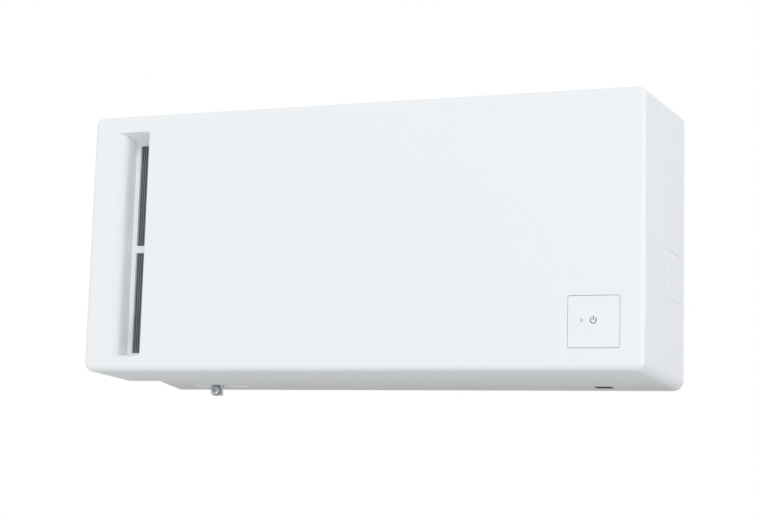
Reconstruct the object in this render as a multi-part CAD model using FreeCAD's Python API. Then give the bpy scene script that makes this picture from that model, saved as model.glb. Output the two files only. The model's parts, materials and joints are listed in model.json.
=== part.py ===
import FreeCAD, Part
import math
import os

from FreeCAD import Vector

# Wall-mounted energy recovery ventilator.
# Millimetres. The wall is the plane y = 0, the front looks along -Y, +X is to the right, +Z is up.
# The origin is on the back of the wall bracket, at the middle of the casing's width and height.

# Outer body: back rim size, depth, mould draft and roundings
WIDTH = 522.0
HEIGHT = 248.0
CASING_DEPTH = 150.0
STANDOFF = 18.0
COVER_DEPTH = 77.0
SIDE_DRAFT = 3.2
TOP_DRAFT = 6.9
BOTTOM_DRAFT = 6.1
TOP_CORNER_R = 7.0
BOTTOM_CORNER_R = 9.0
FRONT_EDGE_R = 5.5
WALL = 2.5
LEFT_INSET_SEAM = 32.0
LEFT_INSET_RIM = 18.0
RIM_Y = -STANDOFF
FRONT_Y = RIM_Y - CASING_DEPTH
SEAM_Y = FRONT_Y + COVER_DEPTH

# Clearances
SEAM = 0.4
FIT = 0.3
RUNNING = 0.05
SLIDE = 0.5

# How far a cutting shape runs past what it cuts
PAST = 1.0

# Screws: head sizes in shank radii, then the shanks
HEAD_R_RATIO = 2.0
HEAD_RATIO = 1.2
BOARD_SCREW_R = 1.2
BOARD_SCREW_GRIP = 6.0
SOCKET_SCREW_R = 1.5
MOTOR_SCREW_R = 1.5

# Thin dividing plates
PARTITION = 2.0

# Locating lip of the rear casing inside the cover
LIP_LENGTH = 5.0
LIP_ROOT = 6.0
LIP_GAP = 0.5
LIP_THICK = 2.0

# Cover hinge on the top edge of the seam
HINGE_INSET = 111.0
HINGE_X = WIDTH / 2 - HINGE_INSET
KNUCKLE_R = 2.8
COVER_KNUCKLE = 16.0
CASING_KNUCKLE = 10.0
HINGE_PIN_R = 1.25

# Supply-air outlet recess in the cover's front
OUTLET_WIDTH = 34.3
OUTLET_INSET = 26.3
OUTLET_LEFT = -WIDTH / 2 + OUTLET_INSET
OUTLET_RIGHT = OUTLET_LEFT + OUTLET_WIDTH
OUTLET_TOP_INSET = 22.5
OUTLET_TOP = HEIGHT / 2 - OUTLET_TOP_INSET
OUTLET_BOTTOM_INSET = 20.0
OUTLET_BOTTOM = -HEIGHT / 2 + OUTLET_BOTTOM_INSET
OUTLET_CORNER_R = 2.5
OUTLET_DEPTH = 23.0
OUTLET_ROLL_R = 9.0
OUTLET_ROLL_ANGLE = 88.0
OUTLET_BACK_INSET = 9.3
OUTLET_BACK_LEFT = OUTLET_LEFT + OUTLET_BACK_INSET
OUTLET_RIGHT_TAPER = 0.6
OUTLET_TOP_TAPER = 3.4
OUTLET_SKIN = 2.2
FRAME_THICK = 2.0
WINDOW_LEFT_BORDER = 4.1
WINDOW_LEFT = OUTLET_BACK_LEFT + WINDOW_LEFT_BORDER
WINDOW_RIGHT_BORDER = 3.8
WINDOW_RIGHT = OUTLET_RIGHT - WINDOW_RIGHT_BORDER
WINDOW_TOP_BORDER = 8.0
WINDOW_TOP = OUTLET_TOP - WINDOW_TOP_BORDER
WINDOW_BOTTOM_BORDER = 4.4
WINDOW_BOTTOM = OUTLET_BOTTOM + WINDOW_BOTTOM_BORDER
BRIDGE_TOP = -0.5
BRIDGE_BOTTOM = -7.1
GRILLE_THICK = 3.0
GRILLE_MARGIN = 2.5
GRILLE_SLOT = 1.0
GRILLE_PITCH = 2.0

# Push plate with its light and symbol
BUTTON_INSET = 44.8
BUTTON_X = WIDTH / 2 - BUTTON_INSET
BUTTON_RISE = 46.1
BUTTON_Z = -HEIGHT / 2 + BUTTON_RISE
BUTTON_HOLE_W = 44.0
BUTTON_HOLE_H = 43.4
BUTTON_GROOVE = 0.4
BUTTON_CORNER_R = 2.0
BUTTON_FLANGE = 2.6
BUTTON_FLANGE_THICK = 1.6
BUTTON_TRAVEL = 1.2
BUTTON_STEM_R = 3.0
LIGHT_OFFSET = 10.1
LIGHT_X = BUTTON_X - LIGHT_OFFSET
SIGN_RISE = 1.1
LIGHT_Z = BUTTON_Z + SIGN_RISE
LIGHT_R = 1.5
SYMBOL_OFFSET = 0.3
SYMBOL_X = BUTTON_X - SYMBOL_OFFSET
SYMBOL_Z = BUTTON_Z + SIGN_RISE
SYMBOL_R = 2.85
SYMBOL_LINE = 0.75
SYMBOL_GAP_DEG = 40.0
SYMBOL_DEPTH = 0.4
BOARD_THICK = 1.6
BOARD_OFFSET = 12.9
BOARD_BOSS_R = 3.0
BOARD_MARGIN = 3.0
SWITCH_SIZE = 12.0

# Locking screw under the casing: head, washer, casing lug and bracket tab
FOOT_INSET = 79.0
FOOT_X = -WIDTH / 2 + FOOT_INSET
FOOT_WIDTH = 22.0
FOOT_RISE = 2.5
LOCK_Y = -48.0
LOCK_DROP = 2.3
LOCK_Z = -HEIGHT / 2 - LOCK_DROP
LOCK_R = 2.0
LOCK_HEAD_R = 4.75
LOCK_HEAD = 3.0
LOCK_RECESS_R = 1.6
LOCK_WASHER_R = 5.6
LOCK_WASHER = 1.2
LOCK_LUG_R = 5.2
LOCK_LUG = 3.0
LOCK_TAB_HALF = 5.0
LOCK_POCKET_OFFSET = 6.0
LOCK_POCKET_X = FOOT_X + LOCK_POCKET_OFFSET
LOCK_POCKET_Y = -51.0
LOCK_POCKET_LENGTH = 62.0
LOCK_POCKET_WIDTH = 20.0
LOCK_POCKET_DEPTH = 1.0

# Duct sockets
SOCKET_INSET = 51.0
SOCKET_X = WIDTH / 2 - SOCKET_INSET
SOCKET_DROP = 64.0
SOCKET_Z = HEIGHT / 2 - SOCKET_DROP
DUCT_R = 37.5
SOCKET_CLEARANCE = 0.3
SOCKET_WALL = 2.7
SOCKET_DEPTH = 30.0
SOCKET_BACK = -1.0
SOCKET_STOP = 3.0
SOCKET_STOP_R = 35.0
SOCKET_FLANGE = 88.0
SOCKET_FLANGE_THICK = 3.0
SOCKET_SCREW = 37.0
GASKET = 1.0

# Filter drawers
FILTER_THICK = 11.0
FILTER_BAR = 6.0
FILTER_MESH = 2.0
FILTER_TOP = -8.0
OUTDOOR_FILTER_Y = -37.0
OUTDOOR_FILTER_WIDTH = 80.0
RETURN_FILTER_INSET = 51.0
RETURN_FILTER_X = -WIDTH / 2 + RETURN_FILTER_INSET
RETURN_FILTER_BEHIND = 9.0
RETURN_FILTER_FRONT = SEAM_Y + RETURN_FILTER_BEHIND
RETURN_FILTER_BACK = -26.0
FINGER_SLOT_OFFSET = 14.0
FINGER_SLOT_X = SOCKET_X - FINGER_SLOT_OFFSET
FINGER_SLOT = 16.0
FINGER_SLOT_WIDTH = 3.5
PULL_THICK = 2.0
PULL_BORDER = 1.0
DRAIN_SLOT_OFFSET = 13.5
DRAIN_SLOT_X = SOCKET_X + DRAIN_SLOT_OFFSET
DRAIN_SLOT = 9.0
DRAIN_SLOT_WIDTH = 1.8
DRAIN_SLOT_GAP = 4.0

# Return-air grille in the set-in left wall, and the entry cover on the right
RETURN_TOP = -12.0
RETURN_RISE = 24.0
RETURN_BOTTOM = -HEIGHT / 2 + RETURN_RISE
RETURN_BEHIND = 11.0
RETURN_FRONT = SEAM_Y + RETURN_BEHIND
RETURN_BACK = -28.0
LOUVRE_PITCH = 8.0
LOUVRE_GAP = 4.5
LOUVRE_BORDER = 4.0
ENTRY_BEHIND = 7.0
ENTRY_FRONT = SEAM_Y + ENTRY_BEHIND
ENTRY_BACK = -28.0
ENTRY_TOP = -7.0
ENTRY_BOTTOM = -48.0
ENTRY_PROUD = 0.4
ENTRY_REST = 0.02

# Damper
DAMPER_Y = -84.0
THROAT_R = 34.0
THROAT_WALL = 2.5
THROAT_FRONT = -110.0
DAMPER_PLATE_Y = -50.0
DAMPER_PLATE = 2.0
DAMPER_PLATE_ROOM = 24.0
DAMPER_PLATE_HALF = HEIGHT / 2 - DAMPER_PLATE_ROOM
DISC_GAP = 0.8
DISC_THICK = 2.0
DISC_HUB_R = 3.5
SPINDLE_R = 2.0
SPINDLE_PAST = 7.5
SPINDLE_HALF = SOCKET_Z + THROAT_R + THROAT_WALL + SPINDLE_PAST
ACTUATOR_W = 28.0
ACTUATOR_ROOM = 6.5
ACTUATOR_H = 2 * (SOCKET_Z - THROAT_R - THROAT_WALL - ACTUATOR_ROOM)

# Fan module
FAN_Z = 0.0
SHAFT_R = 3.0
IMPELLER_R = 46.0
IMPELLER_EYE_R = 37.0
IMPELLER_WIDTH = 29.0
IMPELLER_PLATE = 2.0
IMPELLER_HUB_R = 7.0
IMPELLER_HUB = 14.0
BLADES = 24
BLADE_THICK = 1.2
BLADE_INNER_R = 38.0
BLADE_SWEEP_DEG = 9.0
SCROLL_R = 56.0
SCROLL_STEP = 6.0
SCROLL_OUTLET = 36.0
SCROLL_REACH = 72.0
SCROLL_TONGUE = 46.0
SCROLL_WALL = 2.0
SCROLL_DEPTH = 41.5
SCROLL_ROOM = 4.0
FAN_X = SOCKET_X - SOCKET_FLANGE / 2 - SCROLL_REACH - SCROLL_ROOM
INLET_R = 39.0
INLET_RING = 2.0
INLET_GAP = 20.0
MOTOR_PLATE = 2.0
MOTOR_R = 30.0
MOTOR_LENGTH = 26.0
MOTOR_FLANGE_R = 37.0
MOTOR_WALL = 2.0
STATOR_R = 17.0
ROTOR_R = 16.4
ROTOR_LENGTH = 16.0
BUSH_R = 6.0
POST_R = 4.0
POST_AT = 35.0
NUT_R = 5.5
NUT_THICK = 4.0

# Heat-exchange core, between the left plenum and the fan module
CORE_INSET = 93.5
CORE_LEFT = -WIDTH / 2 + CORE_INSET
CORE_TO_FAN = 18.5
CORE_RIGHT = FAN_X - SCROLL_REACH - CORE_TO_FAN
CORE_X = (CORE_LEFT + CORE_RIGHT) / 2
CORE_HALF = (CORE_RIGHT - CORE_LEFT) / 2
CORE_ROOM = 40.5
CORE_RISE = HEIGHT / 2 - CORE_ROOM
CORE_FRONT_ROOM = 18.0
CORE_FRONT = FRONT_Y + CORE_FRONT_ROOM
CORE_BACK = -40.0
CORE_EDGE_FLAT = 5.0
CORE_FRAME = 4.0
CORE_FRAME_LIP = 2.0
SEAL_WIDTH = 8.0
SEAL_THICK = 2.5
STRAP_WIDTH = 16.0
STRAP_LENGTH = 64.0
STRAP_HEIGHT = 6.0
STRAP_THICK = 1.6
FOAM_HALF = 26.0
FOAM_TOP_ROOM = 9.2
FOAM_TOP = HEIGHT / 2 - FOAM_TOP_ROOM
FOAM_BOTTOM_ROOM = 17.0
FOAM_BOTTOM = -HEIGHT / 2 + FOAM_BOTTOM_ROOM
PARTITION_ROOM = 5.0

# Wall bracket: its hooks clear the top of the fan scrolls
BRACKET_SHEET = 1.6
HOOK_WIDTH = 28.0
HOOK_LIP = 10.0
HOOK_REACH = 1.5
HOOK_ROOM = 8.0
HOOK_Z = FAN_Z + SCROLL_R + 3 * SCROLL_STEP + SCROLL_WALL + HOOK_ROOM
BRACKET_INSET = 61.0
BRACKET_LEFT = -WIDTH / 2 + BRACKET_INSET
BRACKET_PAST_FAN = 50.0
BRACKET_RIGHT = FAN_X + BRACKET_PAST_FAN
BRACKET_OVER_HOOK = 12.0
BRACKET_TOP = HOOK_Z + BRACKET_OVER_HOOK
BRACKET_RISE = 54.0
BRACKET_BOTTOM = -HEIGHT / 2 + BRACKET_RISE
LEFT_HOOK_INSET = 50.0
RIGHT_HOOK_INSET = 40.0
HOOK_XS = (BRACKET_LEFT + LEFT_HOOK_INSET, BRACKET_RIGHT - RIGHT_HOOK_INSET)
BRACKET_HOLE_R = 2.6
BRACKET_HOLE_X = (BRACKET_LEFT + BRACKET_RIGHT) / 2
BRACKET_HOLE_Z = (BRACKET_TOP + BRACKET_BOTTOM) / 2
BRACKET_SIDE_MARGIN = 40.0
BRACKET_END_MARGIN = 28.0
BRACKET_SPACING_X = BRACKET_RIGHT - BRACKET_LEFT - 2 * BRACKET_SIDE_MARGIN
BRACKET_SPACING_Z = BRACKET_TOP - BRACKET_BOTTOM - 2 * BRACKET_END_MARGIN

# Control box, terminals and cable entry
CONTROL_WIDTH = 78.0
CONTROL_OFFSET = 38.0
CONTROL_LEFT = SOCKET_X - CONTROL_OFFSET
CONTROL_RIGHT = CONTROL_LEFT + CONTROL_WIDTH
CONTROL_OVER_BUTTON = 37.9
CONTROL_BOTTOM = BUTTON_Z + CONTROL_OVER_BUTTON
CONTROL_TOP_ROOM = 24.0
CONTROL_TOP = HEIGHT / 2 - CONTROL_TOP_ROOM
CONTROL_BACK = -122.0
CONTROL_DEPTH = 28.0
CONTROL_WALL = 2.0
CONTROL_LEG = 5.0
# board parts: middle from the board's middle, width, height, how far they stand out
BOARD_BLOCKS = (
    (0.0, 31.0, 28.0, 26.0, 14.0),
    (-19.0, -15.0, 14.0, 22.0, 12.0),
    (10.0, -42.0, 16.0, 12.0, 2.0),
)
CAPACITORS_AT = ((8.0, 2.0), (22.0, 2.0), (8.0, -14.0))
CAPACITOR_R = 5.0
CAPACITOR = 13.0
TERMINAL_W = 50.0
TERMINAL_H = 20.0
TERMINAL_DEPTH = 16.0
TERMINAL_WAYS = 5
CABLE_OFFSET = 50.0
CABLE_X = FAN_X - CABLE_OFFSET
CABLE_RISE = 29.0
CABLE_Z = -HEIGHT / 2 + CABLE_RISE
CABLE_HOLE_R = 8.0
CABLE_BORE_R = 5.0
GROMMET_LIP = 2.5
GROMMET_LIP_THICK = 2.0

# Planes worked out from the sizes above
BACK_INSIDE = RIM_Y - WALL
FRONT_INSIDE = FRONT_Y + WALL
OUTLET_BACK = FRONT_Y + OUTLET_DEPTH
LUG_FRONT = LOCK_Y + LOCK_WASHER
LUG_BACK = LUG_FRONT + LOCK_LUG
SHELF_FRONT = DAMPER_Y + ACTUATOR_W / 2


def box(x0, x1, y0, y1, z0, z1):
    corner = Vector(min(x0, x1), min(y0, y1), min(z0, z1))
    return Part.makeBox(abs(x1 - x0), abs(y1 - y0), abs(z1 - z0), corner)


def rod_x(y, z, radius, x0, x1):
    return Part.makeCylinder(radius, abs(x1 - x0), Vector(min(x0, x1), y, z), Vector(1, 0, 0))


def rod_y(x, z, radius, y0, y1):
    return Part.makeCylinder(radius, abs(y1 - y0), Vector(x, min(y0, y1), z), Vector(0, 1, 0))


def rod_z(x, y, radius, z0, z1):
    return Part.makeCylinder(radius, abs(z1 - z0), Vector(x, y, min(z0, z1)), Vector(0, 0, 1))


def fuse(shapes):
    return shapes[0].multiFuse(shapes[1:]) if len(shapes) > 1 else shapes[0]


def polygon_prism(points, direction):
    wire = Part.makePolygon(points + [points[0]])
    return Part.Face(wire).extrude(direction)


def taper(y):
    return (RIM_Y - y) / CASING_DEPTH


def top_at(y):
    return HEIGHT / 2 - TOP_DRAFT * taper(y)


def bottom_at(y):
    return -HEIGHT / 2 + BOTTOM_DRAFT * taper(y)


def half_width_at(y):
    return WIDTH / 2 - SIDE_DRAFT * taper(y)


def casing_inset_at(y):
    share = (y - SEAM_Y) / (RIM_Y - SEAM_Y)
    return LEFT_INSET_SEAM + (LEFT_INSET_RIM - LEFT_INSET_SEAM) * share


def arc_between(start, centre, radius, angle, end):
    middle = centre + Vector(math.cos(angle), 0, math.sin(angle)) * radius
    return Part.Arc(start, middle, end).toShape()


def rounded_rectangle(x0, x1, z0, z1, y, bottom_r, top_r):
    """Closed wire in the plane y, with one radius below and one above."""
    corners = (
        (x1 - bottom_r, z0 + bottom_r, bottom_r, -math.pi / 2),
        (x1 - top_r, z1 - top_r, top_r, 0.0),
        (x0 + top_r, z1 - top_r, top_r, math.pi / 2),
        (x0 + bottom_r, z0 + bottom_r, bottom_r, math.pi),
    )
    edges = []
    previous = Vector(x0 + bottom_r, y, z0)
    for centre_x, centre_z, radius, angle in corners:
        centre = Vector(centre_x, y, centre_z)
        start = centre + Vector(math.cos(angle), 0, math.sin(angle)) * radius
        turned = angle + math.pi / 2
        end = centre + Vector(math.cos(turned), 0, math.sin(turned)) * radius
        edges.append(Part.makeLine(previous, start))
        edges.append(arc_between(start, centre, radius, angle + math.pi / 4, end))
        previous = end
    return Part.Wire(edges)


def body_section(y, inward, left_inset):
    """Outline of the drafted body at depth y, drawn in by a wall thickness."""
    half = half_width_at(y) - inward
    bottom_r = max(BOTTOM_CORNER_R - inward, 1.0)
    top_r = max(TOP_CORNER_R - inward, 1.0)
    z0 = bottom_at(y) + inward
    z1 = top_at(y) - inward
    return rounded_rectangle(-half + left_inset, half, z0, z1, y, bottom_r, top_r)


def cover_block(y0, y1, inward):
    wires = [body_section(y, inward, 0.0) for y in (y0, y1)]
    return Part.makeLoft(wires, True, True)


def casing_block(y0, y1, inward):
    wires = [body_section(y, inward, casing_inset_at(y)) for y in (y0, y1)]
    return Part.makeLoft(wires, True, True)


def front_edges(shape):
    found = []
    for edge in shape.Edges:
        bounds = edge.BoundBox
        if bounds.YMax < FRONT_Y + SEAM:
            found.append(edge)
    return found


# Cover hinge

def hinge_axis():
    return SEAM_Y, top_at(SEAM_Y)


def casing_knuckle_spans():
    offset = COVER_KNUCKLE / 2 + SEAM
    spans = []
    for centre in (-HINGE_X, HINGE_X):
        spans.append((centre - offset - CASING_KNUCKLE, centre - offset))
        spans.append((centre + offset, centre + offset + CASING_KNUCKLE))
    return spans


def cover_knuckle_spans():
    half = COVER_KNUCKLE / 2
    return [(centre - half, centre + half) for centre in (-HINGE_X, HINGE_X)]


def knuckles(spans):
    y, z = hinge_axis()
    return [rod_x(y, z, KNUCKLE_R, x0, x1) for x0, x1 in spans]


def knuckle_notches(spans, side):
    """Room for the other leaf's knuckles: side -1 is in the cover, +1 in the casing."""
    y, z = hinge_axis()
    room = KNUCKLE_R + SLIDE
    return [box(x0 - SEAM, x1 + SEAM, y, y + side * room, z - room, z + room) for x0, x1 in spans]


def pin_holes(clearance):
    y, z = hinge_axis()
    reach = COVER_KNUCKLE / 2 + SEAM + CASING_KNUCKLE
    return [rod_x(y, z, HINGE_PIN_R + clearance, c - reach, c + reach) for c in (-HINGE_X, HINGE_X)]


def hinge_pins():
    return Part.makeCompound(pin_holes(0.0))


# Supply-air outlet recess

def outlet_ceiling(top):
    """Wedge that slopes the recess's ceiling down towards the back."""
    points = [Vector(-WIDTH / 2, FRONT_Y, top), Vector(-WIDTH / 2, OUTLET_BACK, top),
              Vector(-WIDTH / 2, OUTLET_BACK, top - OUTLET_TOP_TAPER)]
    return polygon_prism(points, Vector(WIDTH / 2, 0, 0))


def outlet_channel(grow):
    """Air channel seen from above: rounded left lip, straight right wall, drawn out by a skin."""
    centre = Vector(OUTLET_LEFT, FRONT_Y + OUTLET_ROLL_R, 0)
    radius = OUTLET_ROLL_R - grow
    turn = math.radians(OUTLET_ROLL_ANGLE)

    def on_roll(angle):
        return centre + Vector(math.sin(angle), -math.cos(angle), 0) * radius

    start = on_roll(0.0)
    end = on_roll(turn)
    back_left = Vector(OUTLET_BACK_LEFT - grow, OUTLET_BACK, 0)
    back_right = Vector(OUTLET_RIGHT - OUTLET_RIGHT_TAPER + grow, OUTLET_BACK, 0)
    front_right = Vector(OUTLET_RIGHT + grow, FRONT_Y, 0)
    outside_right = Vector(OUTLET_RIGHT + grow, FRONT_Y - PAST, 0)
    outside_left = Vector(OUTLET_LEFT, FRONT_Y - PAST, 0)
    points = [end, back_left, back_right, front_right, outside_right, outside_left, start]
    edges = [Part.Arc(start, on_roll(turn / 2), end).toShape()]
    edges += [Part.makeLine(a, b) for a, b in zip(points, points[1:])]
    face = Part.Face(Part.Wire(edges))
    face.translate(Vector(0, 0, OUTLET_BOTTOM - grow))
    channel = face.extrude(Vector(0, 0, OUTLET_TOP - OUTLET_BOTTOM + 2 * grow))
    channel = channel.cut(outlet_ceiling(OUTLET_TOP + grow))
    right = OUTLET_RIGHT - OUTLET_RIGHT_TAPER + grow - SEAM
    corners = [edge for edge in channel.Edges if edge.BoundBox.XMin > right and edge.BoundBox.YLength > SEAM]
    return channel.makeFillet(OUTLET_CORNER_R + grow, corners)


def front_cover():
    rim = SEAM_Y - SEAM / 2
    outer = cover_block(FRONT_Y, rim, 0.0)
    outer = outer.makeFillet(FRONT_EDGE_R, front_edges(outer))
    inner = cover_block(FRONT_INSIDE, SEAM_Y + PAST, WALL)
    shell = outer.cut(inner)
    skin = outlet_channel(OUTLET_SKIN).common(outer)
    # closing flange behind the overhang on the left of the rear casing
    casing_left = -half_width_at(SEAM_Y) + LEFT_INSET_SEAM - SEAM
    flange = box(-WIDTH, casing_left, rim - WALL, rim, -HEIGHT, HEIGHT).common(outer)
    bosses = [rod_y(x, z, BOARD_BOSS_R, FRONT_INSIDE - SEAM, board_front()) for x, z in board_corners()]
    cover = fuse([shell, skin, flange] + bosses + knuckles(cover_knuckle_spans()))
    tools = [outlet_channel(0.0), button_hole()]
    tools += knuckle_notches(casing_knuckle_spans(), -1)
    tools += pin_holes(RUNNING)
    tools += board_screws_at()
    return cover.cut(tools).removeSplitter()


def outlet_frame():
    left = OUTLET_BACK_LEFT - OUTLET_SKIN
    right = OUTLET_RIGHT - OUTLET_RIGHT_TAPER + OUTLET_SKIN
    back = OUTLET_BACK + FRAME_THICK
    plate = box(left, right, OUTLET_BACK, back, OUTLET_BOTTOM - OUTLET_SKIN, OUTLET_TOP + OUTLET_SKIN)
    upper = box(WINDOW_LEFT, WINDOW_RIGHT, OUTLET_BACK - PAST, back + PAST, BRIDGE_TOP, WINDOW_TOP)
    lower = box(WINDOW_LEFT, WINDOW_RIGHT, OUTLET_BACK - PAST, back + PAST, WINDOW_BOTTOM, BRIDGE_BOTTOM)
    return plate.cut([upper, lower])


def outlet_grille():
    front = OUTLET_BACK + FRAME_THICK
    back = front + GRILLE_THICK
    left = WINDOW_LEFT - GRILLE_MARGIN
    right = WINDOW_RIGHT + GRILLE_MARGIN
    slab = box(left, right, front, back, WINDOW_BOTTOM - GRILLE_MARGIN, WINDOW_TOP + GRILLE_MARGIN)
    count = int((WINDOW_RIGHT - WINDOW_LEFT) / GRILLE_PITCH)
    first = (WINDOW_LEFT + WINDOW_RIGHT) / 2 - GRILLE_PITCH * (count - 1) / 2
    slots = []
    for index in range(count):
        x0 = first + GRILLE_PITCH * index - GRILLE_SLOT / 2
        x1 = x0 + GRILLE_SLOT
        slots.append(box(x0, x1, front - PAST, back + PAST, WINDOW_BOTTOM, BRIDGE_BOTTOM))
        slots.append(box(x0, x1, front - PAST, back + PAST, BRIDGE_TOP, WINDOW_TOP))
    return slab.cut(slots)


# Push plate, its light, symbol, switch and board

def plate_prism(width, height, radius, y0, y1):
    x0 = BUTTON_X - width / 2
    z0 = BUTTON_Z - height / 2
    wire = rounded_rectangle(x0, x0 + width, z0, z0 + height, y0, radius, radius)
    return Part.Face(wire).extrude(Vector(0, y1 - y0, 0))


def button_hole():
    return plate_prism(BUTTON_HOLE_W, BUTTON_HOLE_H, BUTTON_CORNER_R, FRONT_Y - PAST, FRONT_INSIDE + PAST)


def button_stem_end():
    return switch_face() - FIT - BUTTON_TRAVEL


def power_button():
    width = BUTTON_HOLE_W - 2 * BUTTON_GROOVE
    height = BUTTON_HOLE_H - 2 * BUTTON_GROOVE
    seat = FRONT_INSIDE + FIT
    plate = plate_prism(width, height, BUTTON_CORNER_R - BUTTON_GROOVE, FRONT_Y, seat)
    back = seat + BUTTON_FLANGE_THICK
    grown_w = BUTTON_HOLE_W + 2 * BUTTON_FLANGE
    grown_h = BUTTON_HOLE_H + 2 * BUTTON_FLANGE
    flange = plate_prism(grown_w, grown_h, BUTTON_CORNER_R, seat, back)
    stem = rod_y(BUTTON_X, BUTTON_Z, BUTTON_STEM_R, back, button_stem_end())
    body = fuse([plate, flange, stem])
    return body.cut([status_light(), power_symbol()]).removeSplitter()


def status_light():
    return rod_y(LIGHT_X, LIGHT_Z, LIGHT_R, FRONT_Y, FRONT_INSIDE + FIT)


def power_symbol():
    """Broken ring with an upright bar, let into the plate."""
    back = FRONT_Y + SYMBOL_DEPTH
    ring = rod_y(SYMBOL_X, SYMBOL_Z, SYMBOL_R, FRONT_Y, back)
    ring = ring.cut(rod_y(SYMBOL_X, SYMBOL_Z, SYMBOL_R - SYMBOL_LINE, FRONT_Y - PAST, back + PAST))
    spread = math.tan(math.radians(SYMBOL_GAP_DEG)) * SYMBOL_R
    centre = Vector(SYMBOL_X, FRONT_Y - PAST, SYMBOL_Z)
    wedge = polygon_prism(
        [centre, centre + Vector(-spread, 0, SYMBOL_R + PAST), centre + Vector(spread, 0, SYMBOL_R + PAST)],
        Vector(0, SYMBOL_DEPTH + 2 * PAST, 0),
    )
    half = SYMBOL_LINE / 2
    bar = box(SYMBOL_X - half, SYMBOL_X + half, FRONT_Y, back, SYMBOL_Z, SYMBOL_Z + SYMBOL_R + SYMBOL_LINE)
    return Part.makeCompound([ring.cut(wedge), bar])


def board_front():
    return FRONT_INSIDE + BOARD_OFFSET


def switch_face():
    return board_front() - BUTTON_TRAVEL * 2


def board_corners():
    half_w = BUTTON_HOLE_W / 2 + BUTTON_FLANGE + BOARD_BOSS_R + FIT
    half_h = BUTTON_HOLE_H / 2 + BUTTON_FLANGE + BOARD_BOSS_R + FIT
    return [(BUTTON_X + sx * half_w, BUTTON_Z + sz * half_h) for sx in (-1, 1) for sz in (-1, 1)]


def pan_screw_y(x, z, seat, length, radius, facing):
    """Pan-head screw along Y: its head stands on the facing side of the seat."""
    head = rod_y(x, z, radius * HEAD_R_RATIO, seat, seat + facing * radius * HEAD_RATIO)
    return head.fuse(rod_y(x, z, radius, seat, seat - facing * length))


def board_screws_at():
    back = board_front() + BOARD_THICK
    length = BOARD_THICK + BOARD_SCREW_GRIP
    return [pan_screw_y(x, z, back, length, BOARD_SCREW_R, 1) for x, z in board_corners()]


def board_screws():
    return Part.makeCompound(board_screws_at())


def switch_board():
    xs = [x for x, z in board_corners()]
    zs = [z for x, z in board_corners()]
    grow = BOARD_BOSS_R + BOARD_MARGIN / 2
    front = board_front()
    board = box(min(xs) - grow, max(xs) + grow, front, front + BOARD_THICK, min(zs) - grow, max(zs) + grow)
    return board.cut(board_screws_at())


def tact_switch():
    half = SWITCH_SIZE / 2
    front = board_front()
    body_front = (switch_face() + front) / 2
    body = box(BUTTON_X - half, BUTTON_X + half, body_front, front, BUTTON_Z - half, BUTTON_Z + half)
    return body.fuse(rod_y(BUTTON_X, BUTTON_Z, BUTTON_STEM_R, switch_face(), body_front))


# Rear casing and what closes its openings

def casing_slab(proud):
    """Side, top and bottom walls of the rear casing, standing proud by a set amount."""
    front = SEAM_Y + SEAM / 2
    return casing_block(front, RIM_Y, -proud).cut(casing_block(front - PAST, RIM_Y + PAST, WALL))


def return_opening(shrink):
    inside = -half_width_at(RIM_Y) - PAST
    return box(inside, inside + 2 * LEFT_INSET_SEAM, RETURN_FRONT + shrink, RETURN_BACK - shrink,
               RETURN_BOTTOM + shrink, RETURN_TOP - shrink)


def entry_opening(shrink):
    outside = half_width_at(RIM_Y) + PAST
    return box(outside - 4 * WALL, outside, ENTRY_FRONT + shrink, ENTRY_BACK - shrink,
               ENTRY_BOTTOM + shrink, ENTRY_TOP - shrink)


def socket_spots():
    return ((SOCKET_X, -SOCKET_Z), (SOCKET_X, SOCKET_Z))


def socket_bore_r():
    return DUCT_R + SOCKET_CLEARANCE


def outdoor_filter_span():
    half = OUTDOOR_FILTER_WIDTH / 2
    return SOCKET_X - half, SOCKET_X + half, OUTDOOR_FILTER_Y - FILTER_THICK, OUTDOOR_FILTER_Y


def return_filter_span():
    return RETURN_FILTER_X - FILTER_THICK, RETURN_FILTER_X, RETURN_FILTER_FRONT, RETURN_FILTER_BACK


def drawer_slot(span):
    x0, x1, y0, y1 = span
    return box(x0 - SLIDE, x1 + SLIDE, y0 - SLIDE, y1 + SLIDE, -HEIGHT, 0.0)


def finger_slot():
    half = FINGER_SLOT / 2
    edge = OUTDOOR_FILTER_Y - FILTER_THICK
    return box(FINGER_SLOT_X - half, FINGER_SLOT_X + half, edge - FINGER_SLOT_WIDTH, edge, -HEIGHT, 0.0)


def drain_slot():
    half = DRAIN_SLOT / 2
    edge = OUTDOOR_FILTER_Y - FILTER_THICK - DRAIN_SLOT_GAP
    return box(DRAIN_SLOT_X - half, DRAIN_SLOT_X + half, edge - DRAIN_SLOT_WIDTH, edge, -HEIGHT, 0.0)


def hook_slots():
    half = HOOK_WIDTH / 2 + SLIDE
    top = HOOK_Z + BRACKET_SHEET + SLIDE
    low = top - HOOK_LIP - BRACKET_SHEET - 2 * SLIDE
    return [box(x - half, x + half, BACK_INSIDE - PAST, RIM_Y + PAST, low, top) for x in HOOK_XS]


def foot_z():
    return bottom_at(LUG_BACK) + WALL + FOOT_RISE


def foot_slots():
    """Ways for the bracket's foot through the back wall and for its tab through the floor."""
    half = FOOT_WIDTH / 2 + SLIDE
    low = foot_z() - SLIDE
    high = foot_z() + BRACKET_SHEET + SLIDE
    back = box(FOOT_X - half, FOOT_X + half, BACK_INSIDE - PAST, RIM_Y + PAST, low, high)
    half = LOCK_TAB_HALF + SLIDE
    floor = box(FOOT_X - half, FOOT_X + half, LUG_BACK, LUG_BACK + BRACKET_SHEET + SLIDE, -HEIGHT, 0.0)
    return [back, floor]


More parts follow.
